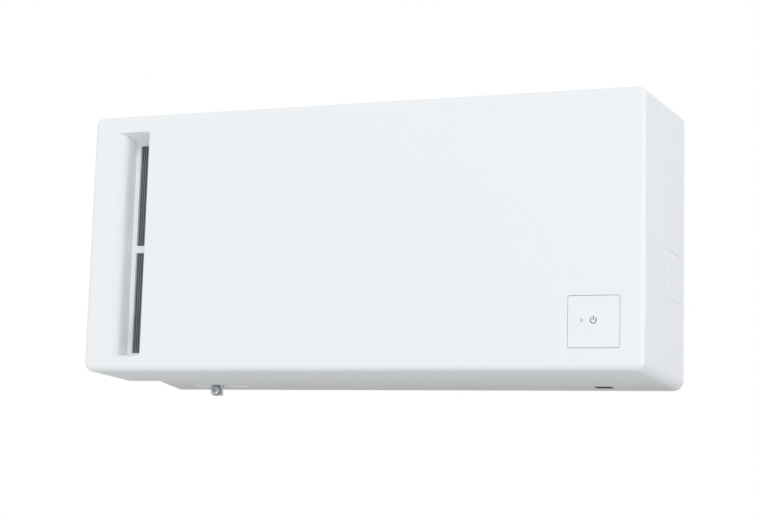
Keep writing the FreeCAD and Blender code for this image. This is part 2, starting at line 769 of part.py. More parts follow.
def lock_pocket():
    """Shallow oval pocket around the locking screw."""
    z0 = bottom_at(LOCK_POCKET_Y) - LOCK_HEAD
    z1 = bottom_at(LOCK_POCKET_Y) + LOCK_POCKET_DEPTH
    radius = LOCK_POCKET_WIDTH / 2
    half = LOCK_POCKET_LENGTH / 2 - radius
    x = LOCK_POCKET_X
    parts = [box(x - half, x + half, LOCK_POCKET_Y - radius, LOCK_POCKET_Y + radius, z0, z1)]
    parts += [rod_z(x + sign * half, LOCK_POCKET_Y, radius, z0, z1) for sign in (-1, 1)]
    return fuse(parts)


def lock_lug():
    """Round-ended lug under the floor that takes the locking screw."""
    top = bottom_at(LUG_BACK) + WALL - FIT
    stem = box(FOOT_X - LOCK_LUG_R, FOOT_X + LOCK_LUG_R, LUG_FRONT, LUG_BACK, LOCK_Z, top)
    lug = stem.fuse(rod_y(FOOT_X, LOCK_Z, LOCK_LUG_R, LUG_FRONT, LUG_BACK))
    return lug.cut(rod_y(FOOT_X, LOCK_Z, LOCK_R + FIT, LUG_FRONT - PAST, LUG_BACK + PAST))


def rear_casing():
    front = SEAM_Y + SEAM / 2
    outer = casing_block(front, RIM_Y, 0.0)
    shell = outer.cut(casing_block(front - PAST, BACK_INSIDE, WALL))
    inner_side = WALL + LIP_GAP + LIP_THICK
    hole = casing_block(SEAM_Y - LIP_LENGTH - PAST, SEAM_Y + LIP_ROOT + PAST, inner_side)
    lip = casing_block(SEAM_Y - LIP_LENGTH, front, WALL + LIP_GAP).cut(hole)
    root = casing_block(front, SEAM_Y + LIP_ROOT, WALL - LIP_GAP).cut(hole)
    floored = shell.cut(lock_pocket())
    casing = fuse([floored, lip, root, lock_lug()] + knuckles(casing_knuckle_spans()))
    tools = [return_opening(0.0), entry_opening(0.0), finger_slot(), drain_slot()] + foot_slots()
    tools += [drawer_slot(outdoor_filter_span()), drawer_slot(return_filter_span())]
    tools += [rod_y(x, z, socket_bore_r() + SOCKET_WALL + FIT, BACK_INSIDE - PAST, RIM_Y + PAST)
              for x, z in socket_spots()]
    tools += hook_slots()
    tools += [rod_y(CABLE_X, CABLE_Z, CABLE_HOLE_R, BACK_INSIDE - PAST, RIM_Y + PAST)]
    tools += [rod_y(FOOT_X, LOCK_Z, LOCK_WASHER_R + FIT, LOCK_Y - 2 * LOCK_HEAD, LUG_FRONT)]
    tools += knuckle_notches(cover_knuckle_spans(), 1)
    tools += pin_holes(0.0)
    tools += socket_screws_at()
    return casing.cut(tools).removeSplitter()


def inlet_grille():
    slab = casing_slab(0.0).common(return_opening(FIT))
    count = int((RETURN_TOP - RETURN_BOTTOM - 2 * LOUVRE_BORDER) / LOUVRE_PITCH)
    first = (RETURN_TOP + RETURN_BOTTOM) / 2 - LOUVRE_PITCH * (count - 1) / 2
    gaps = []
    for index in range(count):
        z = first + LOUVRE_PITCH * index
        gaps.append(box(-WIDTH, 0.0, RETURN_FRONT + LOUVRE_BORDER, RETURN_BACK - LOUVRE_BORDER,
                        z - LOUVRE_GAP / 2, z + LOUVRE_GAP / 2))
    return slab.cut(gaps)


def side_entry_cover():
    """Plate that rests on the lower edge of its opening."""
    plate = entry_opening(FIT)
    plate.translate(Vector(0, 0, ENTRY_REST - FIT))
    return casing_slab(ENTRY_PROUD).common(plate)


def locking_screw():
    head = rod_y(FOOT_X, LOCK_Z, LOCK_HEAD_R, LOCK_Y - LOCK_HEAD, LOCK_Y)
    rim = [edge for edge in head.Edges if edge.BoundBox.YMax < LOCK_Y - LOCK_HEAD + FIT]
    head = head.makeFillet(LOCK_HEAD * 0.6, rim)
    recess = rod_y(FOOT_X, LOCK_Z, LOCK_RECESS_R, LOCK_Y - LOCK_HEAD - PAST, LOCK_Y - LOCK_HEAD / 3)
    shank = rod_y(FOOT_X, LOCK_Z, LOCK_R, LOCK_Y, LUG_BACK + 3 * BRACKET_SHEET)
    return head.fuse(shank).cut(recess).removeSplitter()


def locking_washer():
    washer = rod_y(FOOT_X, LOCK_Z, LOCK_WASHER_R, LOCK_Y, LUG_FRONT)
    return washer.cut(rod_y(FOOT_X, LOCK_Z, LOCK_R + FIT, LOCK_Y - PAST, LUG_FRONT + PAST))


def bracket_holes():
    holes = []
    for sx in (-1, 1):
        for sz in (-1, 1):
            x = BRACKET_HOLE_X + sx * BRACKET_SPACING_X / 2
            z = BRACKET_HOLE_Z + sz * BRACKET_SPACING_Z / 2
            holes.append(rod_y(x, z, BRACKET_HOLE_R, -BRACKET_SHEET - PAST, PAST))
    return holes


def wall_bracket():
    sheet = BRACKET_SHEET
    plate = box(BRACKET_LEFT, BRACKET_RIGHT, -sheet, 0, BRACKET_BOTTOM, BRACKET_TOP)
    flanges = [box(x, x + sheet, RIM_Y, 0, BRACKET_BOTTOM, BRACKET_TOP)
               for x in (BRACKET_LEFT, BRACKET_RIGHT - sheet)]
    hooks = []
    lip_front = BACK_INSIDE - HOOK_REACH
    for x in HOOK_XS:
        half = HOOK_WIDTH / 2
        hooks.append(box(x - half, x + half, lip_front - sheet, 0, HOOK_Z, HOOK_Z + sheet))
        hooks.append(box(x - half, x + half, lip_front - sheet, lip_front, HOOK_Z, HOOK_Z + HOOK_LIP))
    half = FOOT_WIDTH / 2
    z = foot_z()
    tail = box(FOOT_X - half, FOOT_X + half, -sheet, 0, z, BRACKET_BOTTOM + sheet)
    foot = box(FOOT_X - half, FOOT_X + half, LUG_BACK, 0, z, z + sheet)
    low = LOCK_Z - LOCK_TAB_HALF
    tab = box(FOOT_X - LOCK_TAB_HALF, FOOT_X + LOCK_TAB_HALF, LUG_BACK, LUG_BACK + sheet, low, z + sheet)
    bracket = fuse([plate, tail, foot, tab] + flanges + hooks)
    thread = rod_y(FOOT_X, LOCK_Z, LOCK_R, LUG_BACK - PAST, LUG_BACK + sheet + PAST)
    return bracket.cut(bracket_holes() + [thread]).removeSplitter()


# Duct sockets, their gaskets and screws

def socket_flange_front():
    return BACK_INSIDE - GASKET - SOCKET_FLANGE_THICK


def socket_screws_at():
    seat = socket_flange_front()
    length = SOCKET_FLANGE_THICK + GASKET + WALL
    spots = []
    for x, z in socket_spots():
        spots += [(x + sx * SOCKET_SCREW, z + sz * SOCKET_SCREW) for sx in (-1, 1) for sz in (-1, 1)]
    return [pan_screw_y(x, z, seat, length, SOCKET_SCREW_R, -1) for x, z in spots]


def socket_screws():
    return Part.makeCompound(socket_screws_at())


def duct_socket(x, z):
    bore_r = socket_bore_r()
    half = SOCKET_FLANGE / 2
    bore_end = SOCKET_BACK - SOCKET_DEPTH
    inner_end = bore_end - SOCKET_STOP
    sleeve = rod_y(x, z, bore_r + SOCKET_WALL, inner_end, SOCKET_BACK)
    front = socket_flange_front()
    flange = box(x - half, x + half, front, front + SOCKET_FLANGE_THICK, z - half, z + half)
    body = sleeve.fuse(flange)
    tools = [rod_y(x, z, bore_r, bore_end, SOCKET_BACK + PAST)]
    tools += [rod_y(x, z, SOCKET_STOP_R, inner_end - PAST, bore_end + PAST)]
    return body.cut(tools + socket_screws_at()).removeSplitter()


def socket_gaskets():
    half = SOCKET_FLANGE / 2
    rings = []
    for x, z in socket_spots():
        pad = box(x - half, x + half, BACK_INSIDE - GASKET, BACK_INSIDE, z - half, z + half)
        hole = rod_y(x, z, socket_bore_r() + SOCKET_WALL, BACK_INSIDE - GASKET - PAST, BACK_INSIDE + PAST)
        rings.append(pad.cut([hole] + socket_screws_at()))
    return Part.makeCompound(rings)


# Filter drawers

def filter_drawer(span):
    """Frame and mesh of a drawer that pulls down out of the casing's floor."""
    x0, x1, y0, y1 = span
    wide_in_x = (x1 - x0) > (y1 - y0)
    low = bottom_at(y0) + WALL
    frame = box(x0, x1, y0, y1, low, FILTER_TOP)
    floor = casing_block(SEAM_Y, RIM_Y, 0.0).common(box(x0, x1, y0, y1, -HEIGHT, low))
    bar = FILTER_BAR
    middle = (low + FILTER_TOP) / 2
    windows = []
    for z0, z1 in ((low + bar, middle - bar / 4), (middle + bar / 4, FILTER_TOP - bar)):
        if wide_in_x:
            windows.append(box(x0 + bar, x1 - bar, y0 - PAST, y1 + PAST, z0, z1))
        else:
            windows.append(box(x0 - PAST, x1 + PAST, y0 + bar, y1 - bar, z0, z1))
    meshes = []
    for window in windows:
        b = window.BoundBox
        if wide_in_x:
            centre = (y0 + y1) / 2
            sheet = box(b.XMin, b.XMax, centre - FILTER_MESH / 2, centre + FILTER_MESH / 2, b.ZMin, b.ZMax)
        else:
            centre = (x0 + x1) / 2
            sheet = box(centre - FILTER_MESH / 2, centre + FILTER_MESH / 2, b.YMin, b.YMax, b.ZMin, b.ZMax)
        meshes.append(sheet)
    return frame.fuse(floor).cut(windows).removeSplitter(), Part.makeCompound(meshes)


def drawer_pull(span):
    """Dark insert in the drawer's floor behind the finger slot."""
    half = FINGER_SLOT / 2
    y0, y1 = span[2:]
    top = bottom_at(y0) + PULL_THICK
    block = box(FINGER_SLOT_X - half, FINGER_SLOT_X + half, y0, y1 - PULL_BORDER, -HEIGHT, top)
    return casing_block(SEAM_Y, RIM_Y, 0.0).common(block)


# Damper

def damper_housing():
    plate_front = DAMPER_PLATE_Y - DAMPER_PLATE
    half = SOCKET_FLANGE / 2
    x0 = SOCKET_X - half
    x1 = SOCKET_X + half
    plate = box(x0, x1, plate_front, DAMPER_PLATE_Y, -DAMPER_PLATE_HALF, DAMPER_PLATE_HALF)
    top = SOCKET_Z + half + 2 * PARTITION
    shelves = [box(x0 + FILTER_BAR, x1 - FILTER_BAR, plate_front, BACK_INSIDE, top - PARTITION, top)]
    plate = plate.fuse(box(x0 + FILTER_BAR, x1 - FILTER_BAR, plate_front, DAMPER_PLATE_Y, 0.0, top))
    shelves.append(box(x0, x1, SHELF_FRONT, BACK_INSIDE, -PARTITION / 2, PARTITION / 2))
    throats = [rod_y(x, z, THROAT_R + THROAT_WALL, THROAT_FRONT, plate_front) for x, z in socket_spots()]
    bores = [rod_y(x, z, THROAT_R, THROAT_FRONT - PAST, DAMPER_PLATE_Y + PAST) for x, z in socket_spots()]
    spindle = rod_z(SOCKET_X, DAMPER_Y, SPINDLE_R + RUNNING, -SPINDLE_HALF - PAST, SPINDLE_HALF + PAST)
    return fuse([plate] + shelves + throats).cut(bores + [spindle]).removeSplitter()


def damper_spindle():
    return rod_z(SOCKET_X, DAMPER_Y, SPINDLE_R, -SPINDLE_HALF, SPINDLE_HALF)


def damper_disc(z):
    radius = THROAT_R - DISC_GAP
    disc = rod_x(DAMPER_Y, z, radius, SOCKET_X - DISC_THICK / 2, SOCKET_X + DISC_THICK / 2)
    reach = radius - DISC_HUB_R / 2
    hub = rod_z(SOCKET_X, DAMPER_Y, DISC_HUB_R, z - reach, z + reach)
    return disc.fuse(hub).cut(damper_spindle()).removeSplitter()


def damper_actuator():
    half = ACTUATOR_W / 2
    body = box(SOCKET_X - half, SOCKET_X + half, DAMPER_Y - half, DAMPER_Y + half,
               -ACTUATOR_H / 2, ACTUATOR_H / 2)
    return body.cut(rod_z(SOCKET_X, DAMPER_Y, SPINDLE_R + RUNNING, -ACTUATOR_H, ACTUATOR_H))


# Heat-exchange core and the ducts around it

def diamond(grow, y0, y1):
    """Block standing on its edge with its four edges cut flat."""
    flat = CORE_EDGE_FLAT + 2 * grow
    half = CORE_HALF + grow - flat / 2
    rise = CORE_RISE + grow - flat / 2
    points = []
    for ux, uz in ((1, 0), (0, 1), (-1, 0), (0, -1)):
        point = Vector(CORE_X + ux * half, y0, uz * rise)
        side = Vector(uz, 0, -ux) * (flat / 2)
        points += [point + side, point - side]
    return polygon_prism(points, Vector(0, y1 - y0, 0))


def exchange_core():
    return diamond(0.0, CORE_FRONT, CORE_BACK)


def core_frame(y0, y1):
    return diamond(CORE_FRAME_LIP, y0, y1)


def core_seals():
    """Strips along the four cut edges of the core."""
    half = CORE_EDGE_FLAT / 2
    side = CORE_HALF - half
    end = CORE_RISE - half
    strips = []
    for sign in (-1, 1):
        x0 = CORE_X + sign * side
        x1 = x0 + sign * SEAL_THICK
        z0 = sign * end
        z1 = z0 + sign * SEAL_THICK
        strips.append(box(x0, x1, CORE_FRONT, CORE_BACK, -half, half))
        strips.append(box(CORE_X - half, CORE_X + half, CORE_FRONT, CORE_BACK, z0, z1))
    return Part.makeCompound(strips)


def core_handle():
    """Low strap across the front frame, with a finger gap under it."""
    face = CORE_FRONT - CORE_FRAME
    half = STRAP_LENGTH / 2
    width = STRAP_WIDTH / 2
    outer = box(CORE_X - half, CORE_X + half, face - STRAP_HEIGHT, face, -width, width)
    front = [edge for edge in outer.Edges if edge.BoundBox.YMax < face - STRAP_HEIGHT + FIT]
    outer = outer.makeFillet(STRAP_THICK, front)
    gap = box(CORE_X - half + STRAP_WIDTH / 2, CORE_X + half - STRAP_WIDTH / 2,
              face - STRAP_HEIGHT + STRAP_THICK, face + PAST, -STRAP_WIDTH, STRAP_WIDTH)
    return outer.cut(gap)


def foam_duct(sign):
    """Foam wedge between the core's upper or lower edge and the casing."""
    seal = CORE_RISE - CORE_EDGE_FLAT / 2 + SEAL_THICK
    shoulder = seal - (FOAM_HALF - SEAL_WIDTH) + CORE_EDGE_FLAT
    end = FOAM_TOP if sign > 0 else FOAM_BOTTOM
    outline = [(-FOAM_HALF, end), (-FOAM_HALF, sign * shoulder), (-SEAL_WIDTH, sign * seal),
               (SEAL_WIDTH, sign * seal), (FOAM_HALF, sign * shoulder), (FOAM_HALF, end)]
    points = [Vector(CORE_X + x, CORE_FRONT, z) for x, z in outline]
    block = polygon_prism(points, Vector(0, BACK_INSIDE - CORE_FRONT, 0))
    return block.cut(core_frame(CORE_BACK, CORE_BACK + CORE_FRAME))


def left_partition():
    """Shelf from the core to the return filter, stepped clear of the outlet recess."""
    edge = CORE_X - CORE_HALF + CORE_EDGE_FLAT / 2 - SEAL_THICK
    step_y = OUTLET_BACK + FRAME_THICK + GRILLE_THICK + PARTITION_ROOM
    step_x = OUTLET_RIGHT + OUTLET_SKIN + PARTITION_ROOM
    half = PARTITION / 2
    back = box(RETURN_FILTER_X + SLIDE, edge, step_y, BACK_INSIDE, -half, half)
    return back.fuse(box(step_x, edge, CORE_FRONT, step_y, -half, half)).removeSplitter()


def right_partition():
    edge = CORE_X + CORE_HALF - CORE_EDGE_FLAT / 2 + SEAL_THICK
    return box(edge, FAN_X - SCROLL_REACH - FIT, CORE_FRONT, BACK_INSIDE, -PARTITION / 2, PARTITION / 2)


# Fan module: planes along the shaft, from the back wall towards the front

EXHAUST_BACK = BACK_INSIDE
EXHAUST_INLET = EXHAUST_BACK - SCROLL_DEPTH
EXHAUST_RING = EXHAUST_INLET - INLET_RING
PLATE_BACK = EXHAUST_RING - INLET_GAP
PLATE_FRONT = PLATE_BACK - MOTOR_PLATE
SUPPLY_RING = PLATE_FRONT - INLET_GAP
SUPPLY_INLET = SUPPLY_RING - INLET_RING
SUPPLY_FRONT = SUPPLY_INLET - SCROLL_DEPTH
MOTOR_MIDDLE = (PLATE_BACK + PLATE_FRONT) / 2
IMPELLER_INLET_GAP = 4.0
EXHAUST_WHEEL_FRONT = EXHAUST_INLET + IMPELLER_INLET_GAP
EXHAUST_WHEEL_BACK = EXHAUST_WHEEL_FRONT + IMPELLER_WIDTH
SUPPLY_WHEEL_BACK = SUPPLY_INLET - IMPELLER_INLET_GAP
SUPPLY_WHEEL_FRONT = SUPPLY_WHEEL_BACK - IMPELLER_WIDTH


def scroll_outline(grow):
    """Volute seen from the front: it opens clockwise and leaves to the lower left."""
    r1 = SCROLL_R + grow
    r2 = r1 + SCROLL_STEP
    r3 = r2 + SCROLL_STEP
    c1 = Vector(0, 0, 0)
    c2 = c1 + Vector(0, 0, r1 - r2)
    c3 = c2 + Vector(r2 - r3, 0, 0)
    left = c1 + Vector(-r1, 0, 0)
    top = c1 + Vector(0, 0, r1)
    right = c2 + Vector(r2, 0, 0)
    bottom = c3 + Vector(0, 0, -r3)
    mouth_low = Vector(-SCROLL_REACH, 0, bottom.z)
    mouth_high = Vector(-SCROLL_REACH, 0, bottom.z + SCROLL_OUTLET + 2 * grow)
    tongue = Vector(-SCROLL_TONGUE - grow, 0, mouth_high.z)
    diagonal = math.sqrt(0.5)
    edges = [
        Part.Arc(left, c1 + Vector(-diagonal, 0, diagonal) * r1, top).toShape(),
        Part.Arc(top, c2 + Vector(diagonal, 0, diagonal) * r2, right).toShape(),
        Part.Arc(right, c3 + Vector(diagonal, 0, -diagonal) * r3, bottom).toShape(),
        Part.makeLine(bottom, mouth_low),
        Part.makeLine(mouth_low, mouth_high),
        Part.makeLine(mouth_high, tongue),
        Part.makeLine(tongue, left),
    ]
    return Part.Face(Part.Wire(edges))


def scroll_prism(grow, y0, y1, turned):
    face = scroll_outline(grow)
    if turned:
        face.rotate(Vector(0, 0, 0), Vector(0, 1, 0), 180)
    face.translate(Vector(FAN_X, y0, FAN_Z))
    return face.extrude(Vector(0, y1 - y0, 0))


def scroll_casing(closed_y, open_y, turned):
    """Volute with its closed plate; the other side takes the inlet ring."""
    towards = 1 if open_y > closed_y else -1
    outer = scroll_prism(SCROLL_WALL, closed_y, open_y, turned)
    inner = scroll_prism(0.0, closed_y + towards * SCROLL_WALL, open_y + towards, turned)
    return outer.cut(inner)


def inlet_ring(y0, y1, turned):
    plate = scroll_prism(SCROLL_WALL, y0, y1, turned)
    return plate.cut(rod_y(FAN_X, FAN_Z, INLET_R, min(y0, y1) - PAST, max(y0, y1) + PAST))


def post_spots():
    return [(FAN_X + sx * POST_AT, FAN_Z + sz * POST_AT) for sx in (-1, 1) for sz in (-1, 1)]


def motor_plate():
    """Plate between the two air paths, with posts that carry both scrolls."""
    outline = scroll_prism(SCROLL_WALL, PLATE_FRONT, PLATE_BACK, False)
    outline = outline.fuse(scroll_prism(SCROLL_WALL, PLATE_FRONT, PLATE_BACK, True))
    posts = [rod_y(x, z, POST_R, SUPPLY_RING, EXHAUST_RING) for x, z in post_spots()]
    hole = rod_y(FAN_X, FAN_Z, MOTOR_R + FIT, PLATE_FRONT - PAST, PLATE_BACK + PAST)
    return fuse([outline] + posts).cut([hole] + motor_screws_at()).removeSplitter()


def motor_screws_at():
    at = (MOTOR_R + MOTOR_FLANGE_R) / 2
    seat = PLATE_FRONT - MOTOR_PLATE
    spots = ((at, 0), (-at, 0), (0, at), (0, -at))
    length = 2 * MOTOR_PLATE
    return [pan_screw_y(FAN_X + dx, FAN_Z + dz, seat, length, MOTOR_SCREW_R, -1) for dx, dz in spots]


def motor_screws():
    return Part.makeCompound(motor_screws_at())


def motor_can():
    half = MOTOR_LENGTH / 2
    y0 = MOTOR_MIDDLE - half
    y1 = MOTOR_MIDDLE + half
    can = rod_y(FAN_X, FAN_Z, MOTOR_R, y0, y1)
    flange = rod_y(FAN_X, FAN_Z, MOTOR_FLANGE_R, PLATE_FRONT - MOTOR_PLATE, PLATE_FRONT)
    room = rod_y(FAN_X, FAN_Z, MOTOR_R - MOTOR_WALL, y0 + MOTOR_WALL, y1 - MOTOR_WALL)
    bushes = rod_y(FAN_X, FAN_Z, BUSH_R, y0 - PAST, y1 + PAST)
    return can.fuse(flange).cut([room, bushes] + motor_screws_at()).removeSplitter()


def motor_stator():
    half = MOTOR_LENGTH / 2 - MOTOR_WALL
    ring = rod_y(FAN_X, FAN_Z, MOTOR_R - MOTOR_WALL, MOTOR_MIDDLE - half, MOTOR_MIDDLE + half)
    return ring.cut(rod_y(FAN_X, FAN_Z, STATOR_R, MOTOR_MIDDLE - half - PAST, MOTOR_MIDDLE + half + PAST))


def shaft_rod(clearance):
    front = SUPPLY_WHEEL_FRONT - NUT_THICK - FIT
    back = EXHAUST_WHEEL_BACK + NUT_THICK + FIT
    return rod_y(FAN_X, FAN_Z, SHAFT_R + clearance, front, back)


def shaft_bushes():
    half = MOTOR_LENGTH / 2
    rings = []
    for sign in (-1, 1):
        outside = MOTOR_MIDDLE + sign * half
        ring = rod_y(FAN_X, FAN_Z, BUSH_R, outside, outside - sign * MOTOR_WALL)
        rings.append(ring.cut(shaft_rod(RUNNING)))
    return Part.makeCompound(rings)


def motor_rotor():
    half = ROTOR_LENGTH / 2
    return rod_y(FAN_X, FAN_Z, ROTOR_R, MOTOR_MIDDLE - half, MOTOR_MIDDLE + half).cut(shaft_rod(0.0))


def blade(index, y0, y1):
    """Forward-curved blade: an arc strip between the inner and the outer radius."""
    start = 2 * math.pi * index / BLADES
    lean = math.radians(BLADE_SWEEP_DEG)

    def at(radius, angle):
        return Vector(FAN_X + radius * math.cos(angle), y0, FAN_Z + radius * math.sin(angle))

    outer_r = IMPELLER_R - IMPELLER_PLATE / 4
    middle_r = (BLADE_INNER_R + outer_r) / 2
    turn = BLADE_THICK / middle_r
    hollow = Part.Arc(
        at(BLADE_INNER_R, start),
        at(middle_r, start - lean / 4),
        at(outer_r, start - lean),
    ).toShape()
    round_back = Part.Arc(
        at(outer_r, start - lean + turn),
        at(middle_r, start - lean / 4 + turn),
        at(BLADE_INNER_R, start + turn),
    ).toShape()
    tip = Part.makeLine(at(outer_r, start - lean), at(outer_r, start - lean + turn))
    root = Part.makeLine(at(BLADE_INNER_R, start + turn), at(BLADE_INNER_R, start))
    return Part.Face(Part.Wire([hollow, tip, round_back, root])).extrude(Vector(0, y1 - y0, 0))


def impeller(plate_y, eye_y):
    """Drum wheel: back plate, blades, shroud ring at the eye and a hub on the shaft."""
    towards = 1 if eye_y > plate_y else -1
    plate = rod_y(FAN_X, FAN_Z, IMPELLER_R, plate_y, plate_y + towards * IMPELLER_PLATE)
    ring = rod_y(FAN_X, FAN_Z, IMPELLER_R, eye_y - towards * IMPELLER_PLATE, eye_y)
    eye = 2 * IMPELLER_PLATE
    ring = ring.cut(rod_y(FAN_X, FAN_Z, IMPELLER_EYE_R, eye_y - eye, eye_y + eye))
    hub = rod_y(FAN_X, FAN_Z, IMPELLER_HUB_R, plate_y, plate_y + towards * IMPELLER_HUB)
    low = plate_y + towards * IMPELLER_PLATE / 2
    high = eye_y - towards * IMPELLER_PLATE / 2
    blades = [blade(index, low, high) for index in range(BLADES)]
    return fuse([plate, ring, hub] + blades).cut(shaft_rod(0.0))


def impeller_nuts():
    nuts = []
    for y0, y1 in ((SUPPLY_WHEEL_FRONT - NUT_THICK, SUPPLY_WHEEL_FRONT),
                   (EXHAUST_WHEEL_BACK, EXHAUST_WHEEL_BACK + NUT_THICK)):
        corners = []
        for index in range(6):
            angle = math.radians(60 * index)
            corners.append(Vector(FAN_X + NUT_R * math.cos(angle), y0, FAN_Z + NUT_R * math.sin(angle)))
        nuts.append(polygon_prism(corners, Vector(0, y1 - y0, 0)).cut(shaft_rod(0.0)))
    return Part.makeCompound(nuts)


# Control box, board, terminals and cable entry

def control_box():
    front = CONTROL_BACK - CONTROL_DEPTH
    wall = CONTROL_WALL
    tray = box(CONTROL_LEFT, CONTROL_RIGHT, front, CONTROL_BACK, CONTROL_BOTTOM, CONTROL_TOP)
    room = box(CONTROL_LEFT + wall, CONTROL_RIGHT - wall, front - PAST, CONTROL_BACK - wall,
               CONTROL_BOTTOM + wall, CONTROL_TOP - wall)
    half = CONTROL_LEG / 2
    legs = []
    for x in (CONTROL_LEFT + CONTROL_LEG, CONTROL_RIGHT - CONTROL_LEG):
        legs.append(box(x - half, x + half, CONTROL_BACK, SHELF_FRONT, -half, half))
    pillar_end = control_board_back()
    pillars = [rod_y(x, z, BOARD_BOSS_R, CONTROL_BACK - wall, pillar_end) for x, z in control_pillars()]
    return fuse([tray.cut(room)] + legs + pillars).removeSplitter()


def control_board_back():
    return CONTROL_BACK - CONTROL_WALL - 2 * BOARD_BOSS_R


def control_pillars():
    inset = CONTROL_WALL + 2 * BOARD_BOSS_R
    return [(x, z) for x in (CONTROL_LEFT + inset, CONTROL_RIGHT - inset)
            for z in (CONTROL_BOTTOM + inset, CONTROL_TOP - inset)]


def control_board():
    """Circuit board with its larger parts standing on it."""
    gap = CONTROL_WALL + SLIDE
    back = control_board_back()
    face = back - BOARD_THICK
    low = CONTROL_BOTTOM + gap
    board = box(CONTROL_LEFT + gap, CONTROL_RIGHT - gap, face, back, low, CONTROL_TOP - gap)
    middle_x = (CONTROL_LEFT + CONTROL_RIGHT) / 2
    middle_z = (CONTROL_BOTTOM + CONTROL_TOP) / 2
    pieces = [board]
    for dx, dz, width, height, stands in BOARD_BLOCKS:
        x0 = middle_x + dx - width / 2
        z0 = middle_z + dz - height / 2
        pieces.append(box(x0, x0 + width, face - stands, face, z0, z0 + height))
    for dx, dz in CAPACITORS_AT:
        pieces.append(rod_y(middle_x + dx, middle_z + dz, CAPACITOR_R, face - CAPACITOR, face))
    return fuse(pieces).removeSplitter()


def terminal_block():
    middle = (CONTROL_LEFT + CONTROL_RIGHT) / 2
    x0 = middle - TERMINAL_W / 2
    front = CONTROL_BACK - TERMINAL_DEPTH
    low = CONTROL_BOTTOM - TERMINAL_H
    block = box(x0, x0 + TERMINAL_W, front, CONTROL_BACK, low, CONTROL_BOTTOM)
    pitch = TERMINAL_W / TERMINAL_WAYS
    z = CONTROL_BOTTOM - TERMINAL_H / 2
    well_end = front + TERMINAL_DEPTH / 2
    wells = [rod_y(x0 + pitch * (way + 0.5), z, pitch / 3, front - PAST, well_end)
             for way in range(TERMINAL_WAYS)]
    return block.cut(wells)


def cable_grommet():
    lip_r = CABLE_HOLE_R + GROMMET_LIP
    body = rod_y(CABLE_X, CABLE_Z, CABLE_HOLE_R, BACK_INSIDE, RIM_Y)
    lips = [rod_y(CABLE_X, CABLE_Z, lip_r, BACK_INSIDE - GROMMET_LIP_THICK, BACK_INSIDE),
            rod_y(CABLE_X, CABLE_Z, lip_r, RIM_Y, RIM_Y + GROMMET_LIP_THICK)]
    reach = GROMMET_LIP_THICK + PAST
    bore = rod_y(CABLE_X, CABLE_Z, CABLE_BORE_R, BACK_INSIDE - reach, RIM_Y + reach)
    return fuse([body] + lips).cut(bore).removeSplitter()


def build():
    outdoor_frame, outdoor_mesh = filter_drawer(outdoor_filter_span())
    outdoor_pull = drawer_pull(outdoor_filter_span())
    return_frame, return_mesh = filter_drawer(return_filter_span())
    return {
        "wall_bracket": wall_bracket(),
        "locking_screw": locking_screw(),
        "locking_washer": locking_washer(),
        "rear_casing": rear_casing(),
        "inlet_grille": inlet_grille(),
        "side_entry_cover": side_entry_cover(),
        "hinge_pins": hinge_pins(),
        "front_cover": front_cover(),
        "outlet_frame": outlet_frame(),
        "outlet_grille": outlet_grille(),
        "switch_board": switch_board(),
        "tact_switch": tact_switch(),
        "board_screws": board_screws(),
        "power_button": power_button(),
        "status_light": status_light(),
        "power_symbol": power_symbol(),
        "outdoor_air_socket": duct_socket(*socket_spots()[0]),
        "exhaust_air_socket": duct_socket(*socket_spots()[1]),
        "socket_gaskets": socket_gaskets(),
        "socket_screws": socket_screws(),
        "outdoor_filter_frame": outdoor_frame.cut(outdoor_pull),
        "outdoor_filter_pull": outdoor_pull,
        "outdoor_filter_mesh": outdoor_mesh,
        "return_filter_frame": return_frame,
        "return_filter_mesh": return_mesh,
        "damper_housing": damper_housing(),
        "damper_spindle": damper_spindle(),
        "outdoor_damper_disc": damper_disc(-SOCKET_Z),
        "exhaust_damper_disc": damper_disc(SOCKET_Z),
        "damper_actuator": damper_actuator(),
        "exchange_core": exchange_core(),
        "core_front_frame": core_frame(CORE_FRONT - CORE_FRAME, CORE_FRONT),
        "core_rear_frame": core_frame(CORE_BACK, CORE_BACK + CORE_FRAME),
        "core_handle": core_handle(),
        "core_seals": core_seals(),
        "upper_foam_duct": foam_duct(1),
        "lower_foam_duct": foam_duct(-1),
        "left_partition": left_partition(),
        "right_partition": right_partition(),
        "exhaust_scroll": scroll_casing(EXHAUST_BACK, EXHAUST_INLET, True),
        "exhaust_inlet_ring": inlet_ring(EXHAUST_RING, EXHAUST_INLET, True),
        "supply_scroll": scroll_casing(SUPPLY_FRONT, SUPPLY_INLET, False),
        "supply_inlet_ring": inlet_ring(SUPPLY_INLET, SUPPLY_RING, False),
        "motor_plate": motor_plate(),
        "motor_can": motor_can(),
        "motor_stator": motor_stator(),
        "motor_screws": motor_screws(),
        "shaft_bushes": shaft_bushes(),
        "motor_shaft": shaft_rod(0.0),
        "motor_rotor": motor_rotor(),
        "supply_impeller": impeller(SUPPLY_WHEEL_FRONT, SUPPLY_WHEEL_BACK),
        "exhaust_impeller": impeller(EXHAUST_WHEEL_BACK, EXHAUST_WHEEL_FRONT),
        "impeller_nuts": impeller_nuts(),
        "control_box": control_box(),
        "control_board": control_board(),
        "terminal_block": terminal_block(),
        "cable_grommet": cable_grommet(),
    }


os.makedirs("parts", exist_ok=True)
for name, shape in build().items():
    shape.exportStep("parts/" + name + ".step")
    print(name, len(shape.Solids), round(shape.Volume), shape.isValid())
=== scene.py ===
import json
import math

import bmesh
import bpy
from bpy.props import FloatProperty, FloatVectorProperty, IntProperty, PointerProperty
from mathutils import Matrix, Vector


